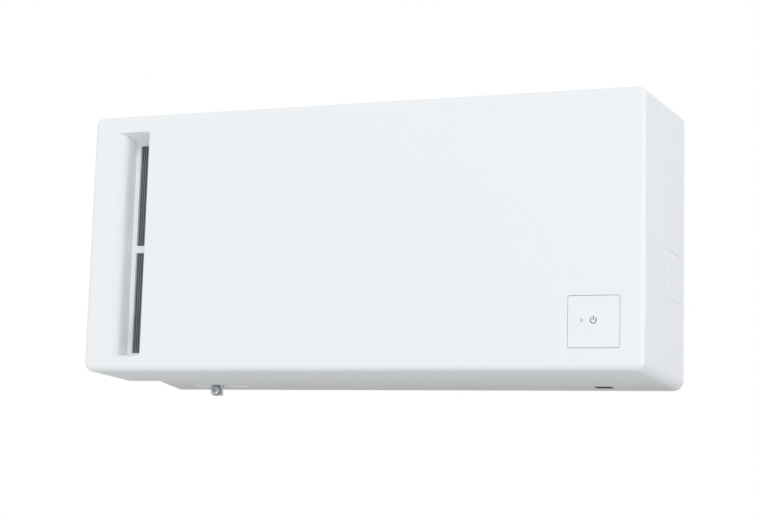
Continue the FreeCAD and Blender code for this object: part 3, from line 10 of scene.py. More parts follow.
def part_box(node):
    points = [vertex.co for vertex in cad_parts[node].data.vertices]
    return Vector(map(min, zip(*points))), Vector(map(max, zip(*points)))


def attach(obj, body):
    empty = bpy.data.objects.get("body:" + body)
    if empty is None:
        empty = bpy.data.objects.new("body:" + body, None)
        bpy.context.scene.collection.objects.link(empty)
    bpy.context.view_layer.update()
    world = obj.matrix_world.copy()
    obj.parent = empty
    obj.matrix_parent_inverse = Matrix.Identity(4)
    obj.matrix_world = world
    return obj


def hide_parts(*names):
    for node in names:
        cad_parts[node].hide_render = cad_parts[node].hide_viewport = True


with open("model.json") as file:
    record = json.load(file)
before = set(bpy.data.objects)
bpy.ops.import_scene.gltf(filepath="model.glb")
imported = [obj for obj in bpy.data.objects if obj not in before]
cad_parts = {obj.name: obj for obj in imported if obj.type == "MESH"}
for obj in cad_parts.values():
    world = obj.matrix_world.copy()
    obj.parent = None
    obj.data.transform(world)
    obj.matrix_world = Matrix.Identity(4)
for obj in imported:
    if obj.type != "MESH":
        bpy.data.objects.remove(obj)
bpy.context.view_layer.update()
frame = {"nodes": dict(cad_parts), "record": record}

bl_info = {
    "name": "Wall ventilator dresser",
    "version": (1, 0, 0),
    "blender": (4, 5, 0),
    "location": "3D View > Sidebar > Ventilator",
    "description": "Finishes and soft pieces of a wall-mounted energy recovery ventilator",
    "category": "Object",
}

MM = 0.001

# Camera of the photograph, in the frame of the part: place, right and up directions, sensor width in mm
CAMERA_PLACE = (0.5527, -1.5337, -0.2293)
CAMERA_RIGHT = (0.9344, 0.3551, 0.0278)
CAMERA_UP = (0.0238, -0.1402, 0.9898)
CAMERA_SENSOR = 36.0

# Lamps round the part: the point that they look at, and the place and the sides of each, in metres
LAMP_TARGET = (0.0, -0.1, 0.0)
LAMPS = {
    "key_lamp": ((1.48, -4.17, 2.50), (2.6, 2.0)),
    "fill_lamp": ((3.32, -2.26, 0.56), (1.6, 1.6)),
    "right_lamp": ((3.47, 0.33, 0.24), (1.6, 1.6)),
    "low_lamp": ((0.36, -1.78, -2.46), (1.6, 0.8)),
    "top_lamp": ((0.00, -0.10, 2.60), (2.0, 2.0)),
    "left_lamp": ((-3.10, -1.55, 0.73), (1.6, 1.6)),
}

# A wave texture repeats about 3.2 times in the length that its scale stands for
WAVES_PER_SCALE = 3.2

# Pleats lean to and fro along their height, by radians of their wave, and keep some slack in the frame
PLEAT_LEAN = 0.25
PLEAT_LEAN_TURN = 9.0
PLEAT_FILL = 0.97

# Tape across its width: half widths from the middle, and thicknesses over its underside
TAPE_SECTION = [(-1.0, 0.5), (-0.93, 1.0), (-0.8, 0.86), (0.8, 0.86), (0.93, 1.0), (1.0, 0.5),
                (0.93, 0.0), (0.8, 0.1), (-0.8, 0.1), (-0.93, 0.0)]

# Stitches: rows as shares of a sewn end, a row's length in half widths, level in thicknesses, and shape
STITCH_ROWS = (0.25, 0.75)
STITCH_ROW_LENGTH = 1.5
STITCH_LEVEL = 0.9
STITCH_SHAPE = (0.4, 0.3, 0.75, 1.0)


def linear(code):
    """Linear colour of an sRGB hex code."""
    channels = [int(code[i:i + 2], 16) / 255 for i in (0, 2, 4)]
    return [c / 12.92 if c <= 0.04045 else ((c + 0.055) / 1.055) ** 2.4 for c in channels]


def solid(code):
    """Colour of an sRGB hex code, with the alpha that a socket needs."""
    return linear(code) + [1.0]


def shade(colour, share):
    """The colour made darker or lighter by a share, with the alpha that a socket needs."""
    return [min(c * share, 1.0) for c in colour] + [1.0]


def per_mm(size):
    """Texture scale that repeats a pattern every so many millimetres."""
    return 1.0 / (size * MM)


def bands(pitch):
    """Wave scale that repeats a band every so many millimetres."""
    return per_mm(WAVES_PER_SCALE * pitch)


def add(tree, kind, inputs, **settings):
    """Add a node with its settings, and set or link its inputs."""
    node = tree.nodes.new(kind)
    for name, value in settings.items():
        setattr(node, name, value)
    for name, value in inputs.items():
        if isinstance(value, bpy.types.NodeSocket):
            tree.links.new(value, node.inputs[name])
        else:
            node.inputs[name].default_value = value
    return node


def start_material(name, **shader_inputs):
    """Start a material: gives it, its tree, its shader with these constants, and the place on the part."""
    material = bpy.data.materials.new(name)
    material.use_nodes = True
    tree = material.node_tree
    shader = tree.nodes["Principled BSDF"]
    for socket, value in shader_inputs.items():
        shader.inputs[socket.replace("_", " ")].default_value = value
    place = add(tree, "ShaderNodeTexCoord", {}).outputs["Object"]
    return material, tree, shader, place


def lay_finish(tree, shader, colour, roughness, relief):
    """Vary colour and roughness between two values each, and raise the surface, each by a pattern."""
    pattern, dark, light = colour
    tone = add(tree, "ShaderNodeMix", {0: pattern, 6: dark, 7: light}, data_type="RGBA")
    pattern, low, high = roughness
    spread = add(tree, "ShaderNodeMapRange", {"Value": pattern, "To Min": low, "To Max": high})
    pattern, depth_mm = relief
    bump = add(tree, "ShaderNodeBump", {"Height": pattern, "Strength": 1.0, "Distance": depth_mm * MM})
    tree.links.new(tone.outputs[2], shader.inputs["Base Color"])
    tree.links.new(spread.outputs["Result"], shader.inputs["Roughness"])
    tree.links.new(bump.outputs["Normal"], shader.inputs["Normal"])


def satin_white_abs(finish):
    """ABS moulded in a spark-eroded tool."""
    # An even cool white with a fine pebbled grain, so that highlights spread into a soft satin.
    # The grain is drawn coarser than the 0.2 mm of the real one, which would not show.
    material, tree, shader, place = start_material("abs_moulded_satin_white", IOR=1.54,
                                                   Specular_IOR_Level=0.35)
    grain = add(tree, "ShaderNodeTexNoise",
                {"Vector": place, "Scale": per_mm(finish.shell_grain / MM), "Detail": 2.0})
    cloud = add(tree, "ShaderNodeTexNoise", {"Vector": place, "Scale": per_mm(120.0), "Detail": 2.0})
    white = finish.shell_white
    lay_finish(tree, shader, colour=(cloud.outputs["Fac"], shade(white, 0.985), shade(white, 1.0)),
               roughness=(grain.outputs["Fac"], 0.58, 0.7), relief=(grain.outputs["Fac"], 0.012))
    return material


def matt_grey_abs(finish):
    """ABS moulded dark and matt, for the slats behind the outlet."""
    # Reads as one dull dark grey; dust settles as a paler veil in patches.
    material, tree, shader, place = start_material("abs_moulded_matt_dark_grey", IOR=1.54)
    dust = add(tree, "ShaderNodeTexNoise", {"Vector": place, "Scale": per_mm(14.0), "Detail": 4.0})
    grain = add(tree, "ShaderNodeTexNoise", {"Vector": place, "Scale": per_mm(0.6), "Detail": 1.0})
    grey = finish.grille_grey
    lay_finish(tree, shader, colour=(dust.outputs["Fac"], shade(grey, 0.92), shade(grey, 1.08)),
               roughness=(dust.outputs["Fac"], 0.6, 0.75), relief=(grain.outputs["Fac"], 0.02))
    return material


def galvanised_sheet(finish):
    """Steel sheet, hot-dip galvanised."""
    # Flat crystals about a centimetre across, each with its own grey and gloss.
    material, tree, shader, place = start_material("steel_sheet_galvanised", Metallic=1.0)
    crystal = add(tree, "ShaderNodeTexVoronoi", {"Vector": place, "Scale": per_mm(finish.spangle / MM)})
    grey = add(tree, "ShaderNodeSeparateColor", {"Color": crystal.outputs["Color"]})
    roll = add(tree, "ShaderNodeTexNoise", {"Vector": place, "Scale": per_mm(1.5), "Detail": 3.0})
    lay_finish(tree, shader, colour=(grey.outputs["Red"], solid("A9AEB2"), solid("C6CACD")),
               roughness=(grey.outputs["Green"], 0.32, 0.5), relief=(roll.outputs["Fac"], 0.01))
    return material


def plated_steel(finish):
    """Turned and cold-headed steel, bright zinc plated."""
    # Pale blue-white metal with fine turning lines that stretch its highlights.
    material, tree, shader, place = start_material("steel_zinc_plated_bright", Metallic=1.0)
    swirl = add(tree, "ShaderNodeTexNoise", {"Vector": place, "Scale": per_mm(0.8), "Detail": 3.0})
    film = add(tree, "ShaderNodeTexNoise", {"Vector": place, "Scale": per_mm(5.0), "Detail": 2.0})
    lay_finish(tree, shader, colour=(film.outputs["Fac"], solid("9EA3A8"), solid("BFC3C6")),
               roughness=(swirl.outputs["Fac"], 0.22, 0.4), relief=(swirl.outputs["Fac"], 0.01))
    return material


def pressed_motor_steel(finish):
    """Deep-drawn steel of the motor, with its laminations."""
    # Greyer than plated parts, with fine rings a millimetre apart across the shaft.
    material, tree, shader, place = start_material("steel_pressed_lamination_grey", Metallic=1.0)
    rings = add(tree, "ShaderNodeTexWave", {"Vector": place, "Scale": bands(1.0), "Distortion": 0.2},
                wave_type="BANDS", bands_direction="Y")
    film = add(tree, "ShaderNodeTexNoise", {"Vector": place, "Scale": per_mm(6.0), "Detail": 3.0})
    lay_finish(tree, shader, colour=(film.outputs["Fac"], solid("74787B"), solid("A2A6A8")),
               roughness=(film.outputs["Fac"], 0.35, 0.55), relief=(rings.outputs["Fac"], 0.03))
    return material


def sintered_bronze(finish):
    """Bronze powder, pressed and sintered, soaked in oil."""
    # Dull golden brown, with pores of about a quarter of a millimetre.
    material, tree, shader, place = start_material("bronze_sintered_oiled", Metallic=1.0)
    pores = add(tree, "ShaderNodeTexVoronoi", {"Vector": place, "Scale": per_mm(0.5)})
    lay_finish(tree, shader, colour=(pores.outputs["Distance"], solid("7A5527"), solid("B98A4B")),
               roughness=(pores.outputs["Distance"], 0.35, 0.55), relief=(pores.outputs["Distance"], 0.03))
    return material


def grey_abs(finish):
    """ABS moulded plain grey, for the ducts, housings and frames inside."""
    # Even mid grey with a moulded grain and faint flow clouds.
    material, tree, shader, place = start_material("abs_moulded_plain_grey", IOR=1.54)
    grain = add(tree, "ShaderNodeTexNoise", {"Vector": place, "Scale": per_mm(0.9), "Detail": 2.0})
    flow = add(tree, "ShaderNodeTexNoise", {"Vector": place, "Scale": per_mm(60.0), "Detail": 3.0})
    grey = finish.inner_grey
    lay_finish(tree, shader, colour=(flow.outputs["Fac"], shade(grey, 0.93), shade(grey, 1.05)),
               roughness=(grain.outputs["Fac"], 0.45, 0.6), relief=(grain.outputs["Fac"], 0.02))
    return material


def black_pbt(finish):
    """PBT filled with glass fibre, moulded black."""
    # Deep grey-black with a faint sheen and short pale fibre marks.
    material, tree, shader, place = start_material("pbt_glass_filled_black", IOR=1.55)
    fibres = add(tree, "ShaderNodeTexNoise",
                 {"Vector": place, "Scale": per_mm(1.2), "Detail": 4.0, "Distortion": 1.5})
    lay_finish(tree, shader, colour=(fibres.outputs["Fac"], solid("17181A"), solid("2B2C2F")),
               roughness=(fibres.outputs["Fac"], 0.4, 0.58), relief=(fibres.outputs["Fac"], 0.02))
    return material


def epdm_rubber(finish):
    """EPDM rubber, moulded and dusted."""
    # Soft charcoal with no gloss, and a grey bloom of talc.
    material, tree, shader, place = start_material("rubber_epdm_matt", IOR=1.5)
    bloom = add(tree, "ShaderNodeTexNoise", {"Vector": place, "Scale": per_mm(8.0), "Detail": 4.0})
    lay_finish(tree, shader, colour=(bloom.outputs["Fac"], solid("1B1B1C"), solid("353536")),
               roughness=(bloom.outputs["Fac"], 0.7, 0.85), relief=(bloom.outputs["Fac"], 0.03))
    return material


def bead_foam(finish):
    """Expanded polystyrene, steam moulded."""
    # White beads pressed into cells, with a shallow groove and a trace of grey along each joint.
    material, tree, shader, place = start_material("polystyrene_bead_foam", IOR=1.5)
    beads = add(tree, "ShaderNodeTexVoronoi", {"Vector": place, "Scale": per_mm(finish.foam_bead / MM)},
                feature="DISTANCE_TO_EDGE")
    joint = add(tree, "ShaderNodeMapRange", {"Value": beads.outputs["Distance"], "From Max": 0.12})
    lay_finish(tree, shader, colour=(joint.outputs["Result"], solid("CDCFCC"), solid("EEEFEC")),
               roughness=(joint.outputs["Result"], 0.85, 0.6), relief=(joint.outputs["Result"], 0.15))
    return material


def solder_mask_board(finish):
    """Glass-epoxy board under green solder mask."""
    # Glossy green; copper runs under the lacquer show as paler lines in rows 2.5 mm apart.
    material, tree, shader, place = start_material("board_green_solder_mask", IOR=1.5,
                                                   Coat_Weight=0.4, Coat_Roughness=0.15)
    upright = add(tree, "ShaderNodeMapping", {"Vector": place, "Rotation": (math.pi / 2, 0.0, 0.0)})
    runs = add(tree, "ShaderNodeTexBrick", {"Vector": upright.outputs["Vector"], "Scale": per_mm(10.0),
                                            "Mortar Size": 0.03, "Mortar Smooth": 0.2})
    lay_finish(tree, shader, colour=(runs.outputs["Fac"], solid("14502F"), solid("2B7A4B")),
               roughness=(runs.outputs["Fac"], 0.38, 0.28), relief=(runs.outputs["Fac"], 0.03))
    return material


def frosted_light_pipe(finish):
    """Acrylic light pipe with a frosted end."""
    # A small grey dot while unlit, with a frosting that scatters a little unevenly.
    material, tree, shader, place = start_material("acrylic_frosted_light_pipe", IOR=1.49)
    frost = add(tree, "ShaderNodeTexNoise", {"Vector": place, "Scale": per_mm(0.5), "Detail": 3.0})
    grey = finish.light_grey
    lay_finish(tree, shader, colour=(frost.outputs["Fac"], shade(grey, 0.92), shade(grey, 1.06)),
               roughness=(frost.outputs["Fac"], 0.35, 0.55), relief=(frost.outputs["Fac"], 0.01))
    return material


def printed_ink(finish):
    """Grey ink, pad printed."""
    # Flat grey line with a slightly uneven lay of ink.
    material, tree, shader, place = start_material("ink_pad_printed_grey", IOR=1.5)
    lay = add(tree, "ShaderNodeTexNoise", {"Vector": place, "Scale": per_mm(0.6), "Detail": 2.0})
    grey = finish.ink_grey
    lay_finish(tree, shader, colour=(lay.outputs["Fac"], shade(grey, 0.9), shade(grey, 1.1)),
               roughness=(lay.outputs["Fac"], 0.5, 0.65), relief=(lay.outputs["Fac"], 0.005))
    return material


def filter_fleece(finish):
    """Polyester fleece, needled and heat set."""
    # Off-white tangle of fibres; the colour is painted darker where the noise stands for the hollows
    # between them, as painted shade.
    material, tree, shader, place = start_material("polyester_fleece_needled", IOR=1.5,
                                                   Sheen_Weight=0.35, Sheen_Roughness=0.5)
    fibres = add(tree, "ShaderNodeTexNoise",
                 {"Vector": place, "Scale": per_mm(1.4), "Detail": 6.0, "Distortion": 2.0})
    # The darker colour is painted shade of the hollows between fibres.
    lay_finish(tree, shader, colour=(fibres.outputs["Fac"], solid("B9BBB6"), solid("F1F2EE")),
               roughness=(fibres.outputs["Fac"], 0.8, 0.95), relief=(fibres.outputs["Fac"], 0.15))
    return material


def exchange_paper(finish):
    """Resin-treated paper of the exchange core."""
    # Warm off-white, with cloudy fibre and no shine.
    material, tree, shader, place = start_material("paper_resin_treated_cream", IOR=1.5)
    fibre = add(tree, "ShaderNodeTexNoise", {"Vector": place, "Scale": per_mm(2.0), "Detail": 5.0})
    cloud = add(tree, "ShaderNodeTexNoise", {"Vector": place, "Scale": per_mm(25.0), "Detail": 2.0})
    cream = finish.paper
    lay_finish(tree, shader, colour=(cloud.outputs["Fac"], shade(cream, 0.9), shade(cream, 1.05)),
               roughness=(fibre.outputs["Fac"], 0.75, 0.9), relief=(fibre.outputs["Fac"], 0.05))
    return material


def woven_tape(finish):
    """Polyester tape, plain weave."""
    # Threads cross over and under; each is round, and the colour paints that light: a painted highlight on
    # the crowns and painted shade at the crossings.
    # They are drawn 2 mm apart, coarser than real ones, which would not show.
    material, tree, shader, place = start_material("polyester_tape_plain_weave", IOR=1.5,
                                                   Sheen_Weight=0.25, Sheen_Roughness=0.4)
    threads = {"Vector": place, "Scale": bands(2.0)}
    warp = add(tree, "ShaderNodeTexWave", threads, wave_type="BANDS", bands_direction="Z")
    weft = add(tree, "ShaderNodeTexWave", threads, wave_type="BANDS", bands_direction="X")
    weave_shade_and_highlight = add(tree, "ShaderNodeMath", {0: warp.outputs["Fac"], 1: weft.outputs["Fac"]},
                operation="MULTIPLY")
    blue = finish.strap_blue
    # Colour runs from painted shade at the crossings to a painted highlight on the crowns; roughness and
    # bump follow the same weave.
    lay_finish(tree, shader, colour=(weave_shade_and_highlight.outputs["Value"], shade(blue, 0.55), shade(blue, 1.1)),
               roughness=(weave_shade_and_highlight.outputs["Value"], 0.8, 0.6), relief=(weave_shade_and_highlight.outputs["Value"], 0.25))
    return material


def nodes_of(slot):
    """The solids that the record gives this finish."""
    return [part["node"] for part in frame["record"]["subparts"] if part["material_slot"] == slot]


def dress(slot, material):
    """Give every solid of a finish its material."""
    for name in nodes_of(slot):
        materials = frame["nodes"][name].data.materials
        if not materials:
            materials.append(material)
        for i in range(len(materials)):
            materials[i] = material


def new_piece(name, mesh, material, slot, body, *nodes):
    """A piece that rides on a body and stands for solids of the part."""
    data = bpy.data.meshes.new(name)
    bmesh.ops.recalc_face_normals(mesh, faces=mesh.faces)
    mesh.to_mesh(data)
    mesh.free()
    data.materials.append(material)
    piece = bpy.data.objects.new(name, data)
    bpy.context.scene.collection.objects.link(piece)
    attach(piece, body)
    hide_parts(*nodes)
    return piece


def filter_panels(name):
    """The boxes of a filter's two panels, under and over the crossbar of its frame."""
    low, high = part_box(name)
    node = frame["nodes"][name]
    levels = sorted({round((node.matrix_world @ vert.co).z, 5) for vert in node.data.vertices})
    spans = ((levels[0], levels[1]), (levels[2], levels[3]))
    return [(Vector((low.x, low.y, z0)), Vector((high.x, high.y, z1))) for z0, z1 in spans]


def pleated_fleece(mesh, low, high, media):
    """Add a pleated mat that fills a box, with pleats along the height."""
    size = high - low
    thin = 0 if size.x < size.y else 1
    wide = 1 - thin
    pleats = max(round(size[wide] / media.pleat_pitch), 2)
    steps = pleats * media.pleat_steps
    rows = media.pleat_rows
    swing = (size[thin] - media.fleece) / 2
    middle = (low[thin] + high[thin]) / 2
    sides = []
    for side in (-1, 1):
        grid = []
        for row in range(rows + 1):
            height = low.z + size.z * row / rows
            lean = PLEAT_LEAN * math.sin(PLEAT_LEAN_TURN * row / rows)
            line = []
            for step in range(steps + 1):
                spot = Vector((0.0, 0.0, height))
                spot[wide] = low[wide] + size[wide] * step / steps
                wave = math.sin(2 * math.pi * step / media.pleat_steps + lean)
                spot[thin] = middle + PLEAT_FILL * swing * wave + side * media.fleece / 2
                line.append(mesh.verts.new(spot))
            grid.append(line)
        sides.append(grid)
    for grid in sides:
        for under, over in zip(grid, grid[1:]):
            for step in range(steps):
                mesh.faces.new((under[step], under[step + 1], over[step + 1], over[step]))
    edge = [(row, 0) for row in range(rows + 1)] + [(rows, step) for step in range(1, steps + 1)]
    edge += [(row, steps) for row in range(rows - 1, -1, -1)]
    edge += [(0, step) for step in range(steps - 1, 0, -1)]
    for (r0, s0), (r1, s1) in zip(edge, edge[1:] + edge[:1]):
        mesh.faces.new((sides[0][r0][s0], sides[0][r1][s1], sides[1][r1][s1], sides[1][r0][s0]))
    for face in mesh.faces:
        face.smooth = True


def core_point(along, across, flow, y, centre):
    """A point of the core from the two directions of its air streams."""
    a, b = (along, across) if flow else (across, along)
    return Vector((centre.x + (a + b) / math.sqrt(2), y, centre.z + (a - b) / math.sqrt(2)))


def layered_core(low, high, media):
    """Flat sheets and fluted sheets by turns, the flutes crossing from layer to layer."""
    mesh = bmesh.new()
    centre = (low + high) / 2
    reach = (high.x - low.x) / 2 - media.core_inset
    flat = media.core_flat / math.sqrt(2)
    half = (reach + media.core_flat / 2) / math.sqrt(2)
    layers = round((high.y - low.y) / media.layer_pitch)
    pitch = (high.y - low.y) / layers
    outline = [(half - flat, half), (half, half - flat), (half, flat - half), (half - flat, -half),
               (flat - half, -half), (-half, flat - half), (-half, half - flat), (flat - half, half)]
    for layer in range(layers + 1):
        y = min(max(low.y + layer * pitch, low.y + media.sheet / 2), high.y - media.sheet / 2)
        faces = []
        for side in (-1, 1):
            level = y + side * media.sheet / 2
            faces.append([mesh.verts.new(core_point(a, b, True, level, centre)) for a, b in outline])
        mesh.faces.new(faces[0])
        mesh.faces.new(faces[1])
        for i in range(len(outline)):
            j = (i + 1) % len(outline)
            mesh.faces.new((faces[0][i], faces[0][j], faces[1][j], faces[1][i]))
    flutes = round(2 * half / media.flute_pitch)
    for layer in range(layers):
        bottom = low.y + layer * pitch + media.sheet / 2
        top = bottom + pitch - media.sheet
        line = []
        for step in range(2 * flutes + 1):
            across = -half + half * step / flutes
            along = min(half, 2 * half - flat - abs(across)) - media.core_inset
            y = top if step % 2 else bottom
            ends = [core_point(end * along, across, layer % 2, y, centre) for end in (-1, 1)]
            line.append([mesh.verts.new(spot) for spot in ends])
        for (a0, a1), (b0, b1) in zip(line, line[1:]):
            mesh.faces.new((a0, a1, b1, b0))
    return mesh


def strap_height(share, media):
    """Share of its lift that the strap has there: none at the sewn ends, and all of it on the flat top."""
    rise = min(max((min(share, 1.0 - share) - media.strap_pad) / media.strap_rise, 0.0), 1.0)
    return rise * rise * (3.0 - 2.0 * rise)


def carrying_strap(low, high, media):
    """A tape with thick selvedges, sewn down at both ends by rows of stitches."""
    mesh = bmesh.new()
    base = high.y
    lift = base - low.y - media.tape
    length = high.x - low.x
    middle = (low.z + high.z) / 2
    half = (high.z - low.z) / 2
    rings = []
    for step in range(media.strap_steps + 1):
        share = step / media.strap_steps
        x = low.x + share * length
        y = base - lift * strap_height(share, media)
        rings.append([mesh.verts.new((x, y - t * media.tape, middle + w * half)) for w, t in TAPE_SECTION])
    count = len(TAPE_SECTION)
    for a, b in zip(rings, rings[1:]):
        for i in range(count):
            mesh.faces.new((a[i], a[(i + 1) % count], b[(i + 1) % count], b[i]))
    mesh.faces.new(rings[0])
    mesh.faces.new(rings[-1])
    for face in mesh.faces:
        face.smooth = True
    pad = media.strap_pad * length
    stitches = int(STITCH_ROW_LENGTH * half / media.stitch)
    rows = [low.x + share * pad for share in STITCH_ROWS]
    rows += [high.x - share * pad for share in reversed(STITCH_ROWS)]
    for x in rows:
        for i in range(stitches):
            z = middle + (i - (stitches - 1) / 2) * media.stitch
            spot = Matrix.Translation((x, base - STITCH_LEVEL * media.tape, z))
            made = bmesh.ops.create_icosphere(mesh, subdivisions=1, radius=media.stitch / 2,
                                              matrix=spot @ Matrix.Diagonal(STITCH_SHAPE))
            for vert in made["verts"]:
                for face in vert.link_faces:
                    face.smooth = True
    return mesh


def place_lamp(name, place, size, power):
    """A soft oblong lamp that looks at the part."""
    data = bpy.data.lights.new(name, "AREA")
    data.shape = "RECTANGLE"
    data.size, data.size_y = size
    data.energy = power
    lamp = bpy.data.objects.new(name, data)
    lamp.location = place
    lamp.rotation_euler = (Vector(LAMP_TARGET) - Vector(place)).to_track_quat("-Z", "Y").to_euler()
    lamp.visible_camera = False
    bpy.context.scene.collection.objects.link(lamp)


def light_world(stage):
    """An even white surround: plain light on the part, and plain white to the camera and in reflections."""
    world = bpy.data.worlds.new("even_white_surround")
    world.use_nodes = True
    tree = world.node_tree
    tree.nodes.clear()
    path = add(tree, "ShaderNodeLightPath", {})
    seen = add(tree, "ShaderNodeMath", {0: path.outputs["Is Camera Ray"], 1: path.outputs["Is Glossy Ray"]},
               operation="MAXIMUM")
    seen = add(tree, "ShaderNodeMath", {0: seen.outputs["Value"], 1: path.outputs["Is Transmission Ray"]},
               operation="MAXIMUM")
    lit = add(tree, "ShaderNodeBackground", {"Color": (1.0, 1.0, 1.0, 1.0), "Strength": stage.ambient})
    white = add(tree, "ShaderNodeBackground", {"Color": (1.0, 1.0, 1.0, 1.0), "Strength": 1.0})
    mix = add(tree, "ShaderNodeMixShader",
              {0: seen.outputs["Value"], 1: lit.outputs[0], 2: white.outputs[0]})
    add(tree, "ShaderNodeOutputWorld", {"Surface": mix.outputs[0]})
    bpy.context.scene.world = world


def stage_sheet(name, corners, material):
    """A flat sheet of the stage, which is no part of the object."""
    mesh = bmesh.new()
    mesh.faces.new([mesh.verts.new(corner) for corner in corners])
    data = bpy.data.meshes.new(name)
    mesh.to_mesh(data)
    mesh.free()
    data.materials.append(material)
    sheet = bpy.data.objects.new(name, data)
    bpy.context.scene.collection.objects.link(sheet)
    return sheet


def lay_floor(stage):
    """A pale floor well under the part, which hangs on a wall at about head height."""
    # Matt painted board: flat, with the faintest unevenness.
    material, tree, shader, place = start_material("floor_matt_painted_board", IOR=1.5)
    cloud = add(tree, "ShaderNodeTexNoise", {"Vector": place, "Scale": per_mm(400.0), "Detail": 2.0})
    pale = stage.floor_colour
    lay_finish(tree, shader, colour=(cloud.outputs["Fac"], shade(pale, 0.98), shade(pale, 1.0)),
               roughness=(cloud.outputs["Fac"], 0.85, 0.95), relief=(cloud.outputs["Fac"], 0.02))
    half = stage.floor_size / 2
    corners = ((-half, -half), (half, -half), (half, half), (-half, half))
    stage_sheet("floor", [(x, y, -stage.floor_drop) for x, y in corners], material)


def hang_card(stage):
    """A black card under the part, near its wall, that keeps light off the rear of the underside."""
    # Matt black paper, with a trace of fibre.
    material, tree, shader, place = start_material("card_matt_black_paper", IOR=1.5)
    fibre = add(tree, "ShaderNodeTexNoise", {"Vector": place, "Scale": per_mm(3.0), "Detail": 3.0})
    lay_finish(tree, shader, colour=(fibre.outputs["Fac"], solid("0D0D0D"), solid("171717")),
               roughness=(fibre.outputs["Fac"], 0.85, 0.95), relief=(fibre.outputs["Fac"], 0.02))
    low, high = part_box("rear_casing")
    sides = (low.x - stage.card_height, high.x + stage.card_height)
    levels = (low.z - stage.card_height, low.z)
    corners = ((sides[0], levels[0]), (sides[1], levels[0]), (sides[1], levels[1]), (sides[0], levels[1]))
    card = stage_sheet("black_card", [(x, stage.card_place, z) for x, z in corners], material)
    card.visible_camera = False


def set_camera(stage):
    """The camera that took the photograph."""
    data = bpy.data.cameras.new("photo_camera")
    data.sensor_width = CAMERA_SENSOR
    data.lens = stage.lens
    camera = bpy.data.objects.new("photo_camera", data)
    right, up = Vector(CAMERA_RIGHT).normalized(), Vector(CAMERA_UP).normalized()
    back = right.cross(up).normalized()
    turn = Matrix((right, up, back)).transposed()
    camera.matrix_world = Matrix.Translation(CAMERA_PLACE) @ turn.to_4x4()
    bpy.context.scene.collection.objects.link(camera)
    bpy.context.scene.camera = camera


class VentilatorFinish(bpy.types.PropertyGroup):
    """Colours and grain of the finishes"""

    shell_white: FloatVectorProperty(
        name="Shell white", description="Colour of the moulded white shell", subtype="COLOR",
        default=linear("F3F6F9"))
    grille_grey: FloatVectorProperty(
        name="Grille grey", description="Colour of the slats behind the outlet", subtype="COLOR",
        default=linear("7D807F"))
    inner_grey: FloatVectorProperty(
        name="Inner grey", description="Colour of the ducts and frames inside", subtype="COLOR",
        default=linear("A3A8AB"))
    strap_blue: FloatVectorProperty(
        name="Strap blue", description="Colour of the strap on the core", subtype="COLOR",
        default=linear("3F5F94"))
    paper: FloatVectorProperty(
        name="Paper", description="Colour of the exchange paper", subtype="COLOR", default=linear("E4DEC9"))
    light_grey: FloatVectorProperty(
        name="Unlit light", description="Colour of the status light while unlit", subtype="COLOR",
        default=linear("CDD1D2"))
    ink_grey: FloatVectorProperty(
        name="Ink grey", description="Colour of the printed power symbol", subtype="COLOR",
        default=linear("45494C"))
    shell_grain: FloatProperty(
        name="Shell grain", description="Size of the pebbled grain on the shell", unit="LENGTH",
        default=0.9 * MM)
    foam_bead: FloatProperty(
        name="Foam bead", description="Size of one bead of the foam", unit="LENGTH", default=4.0 * MM)
    spangle: FloatProperty(
        name="Spangle", description="Size of one zinc crystal", unit="LENGTH", default=9.0 * MM)


class VentilatorMedia(bpy.types.PropertyGroup):
    """Sizes of the filter mats, the exchange core and its strap"""

    pleat_pitch: FloatProperty(
        name="Pleat pitch", description="Distance between two pleats of a filter", unit="LENGTH",
        default=5.0 * MM)
    pleat_steps: IntProperty(name="Pleat steps", description="Facets of one pleat", default=12)
    pleat_rows: IntProperty(name="Pleat rows", description="Rows of facets along a pleat", default=20)
    fleece: FloatProperty(
        name="Fleece", description="Thickness of the fleece", unit="LENGTH", default=0.7 * MM)
    layer_pitch: FloatProperty(
        name="Layer pitch", description="Distance between two flat sheets of the core", unit="LENGTH",
        default=3.0 * MM)
    flute_pitch: FloatProperty(
        name="Flute pitch", description="Width of one flute of the core", unit="LENGTH", default=4.0 * MM)
    sheet: FloatProperty(
        name="Sheet", description="Thickness of a flat sheet of the core", unit="LENGTH", default=0.5 * MM)
    core_flat: FloatProperty(
        name="Core flat", description="Width of the cut-off edges of the core", unit="LENGTH",
        default=5.0 * MM)
    core_inset: FloatProperty(
        name="Core inset", description="How far the sheets stay inside the core's outline", unit="LENGTH",
        default=0.1 * MM)
    tape: FloatProperty(
        name="Tape", description="Thickness of the strap's tape", unit="LENGTH", default=1.6 * MM)
    strap_pad: FloatProperty(
        name="Sewn end", description="Share of the strap sewn down at each end", subtype="FACTOR",
        default=0.12)
    strap_rise: FloatProperty(
        name="Rise", description="Share of the strap over which it rises", subtype="FACTOR", default=0.2)
    strap_steps: IntProperty(name="Strap steps", description="Facets along the strap", default=64)
    stitch: FloatProperty(
        name="Stitch", description="Length of one stitch", unit="LENGTH", default=2.0 * MM)


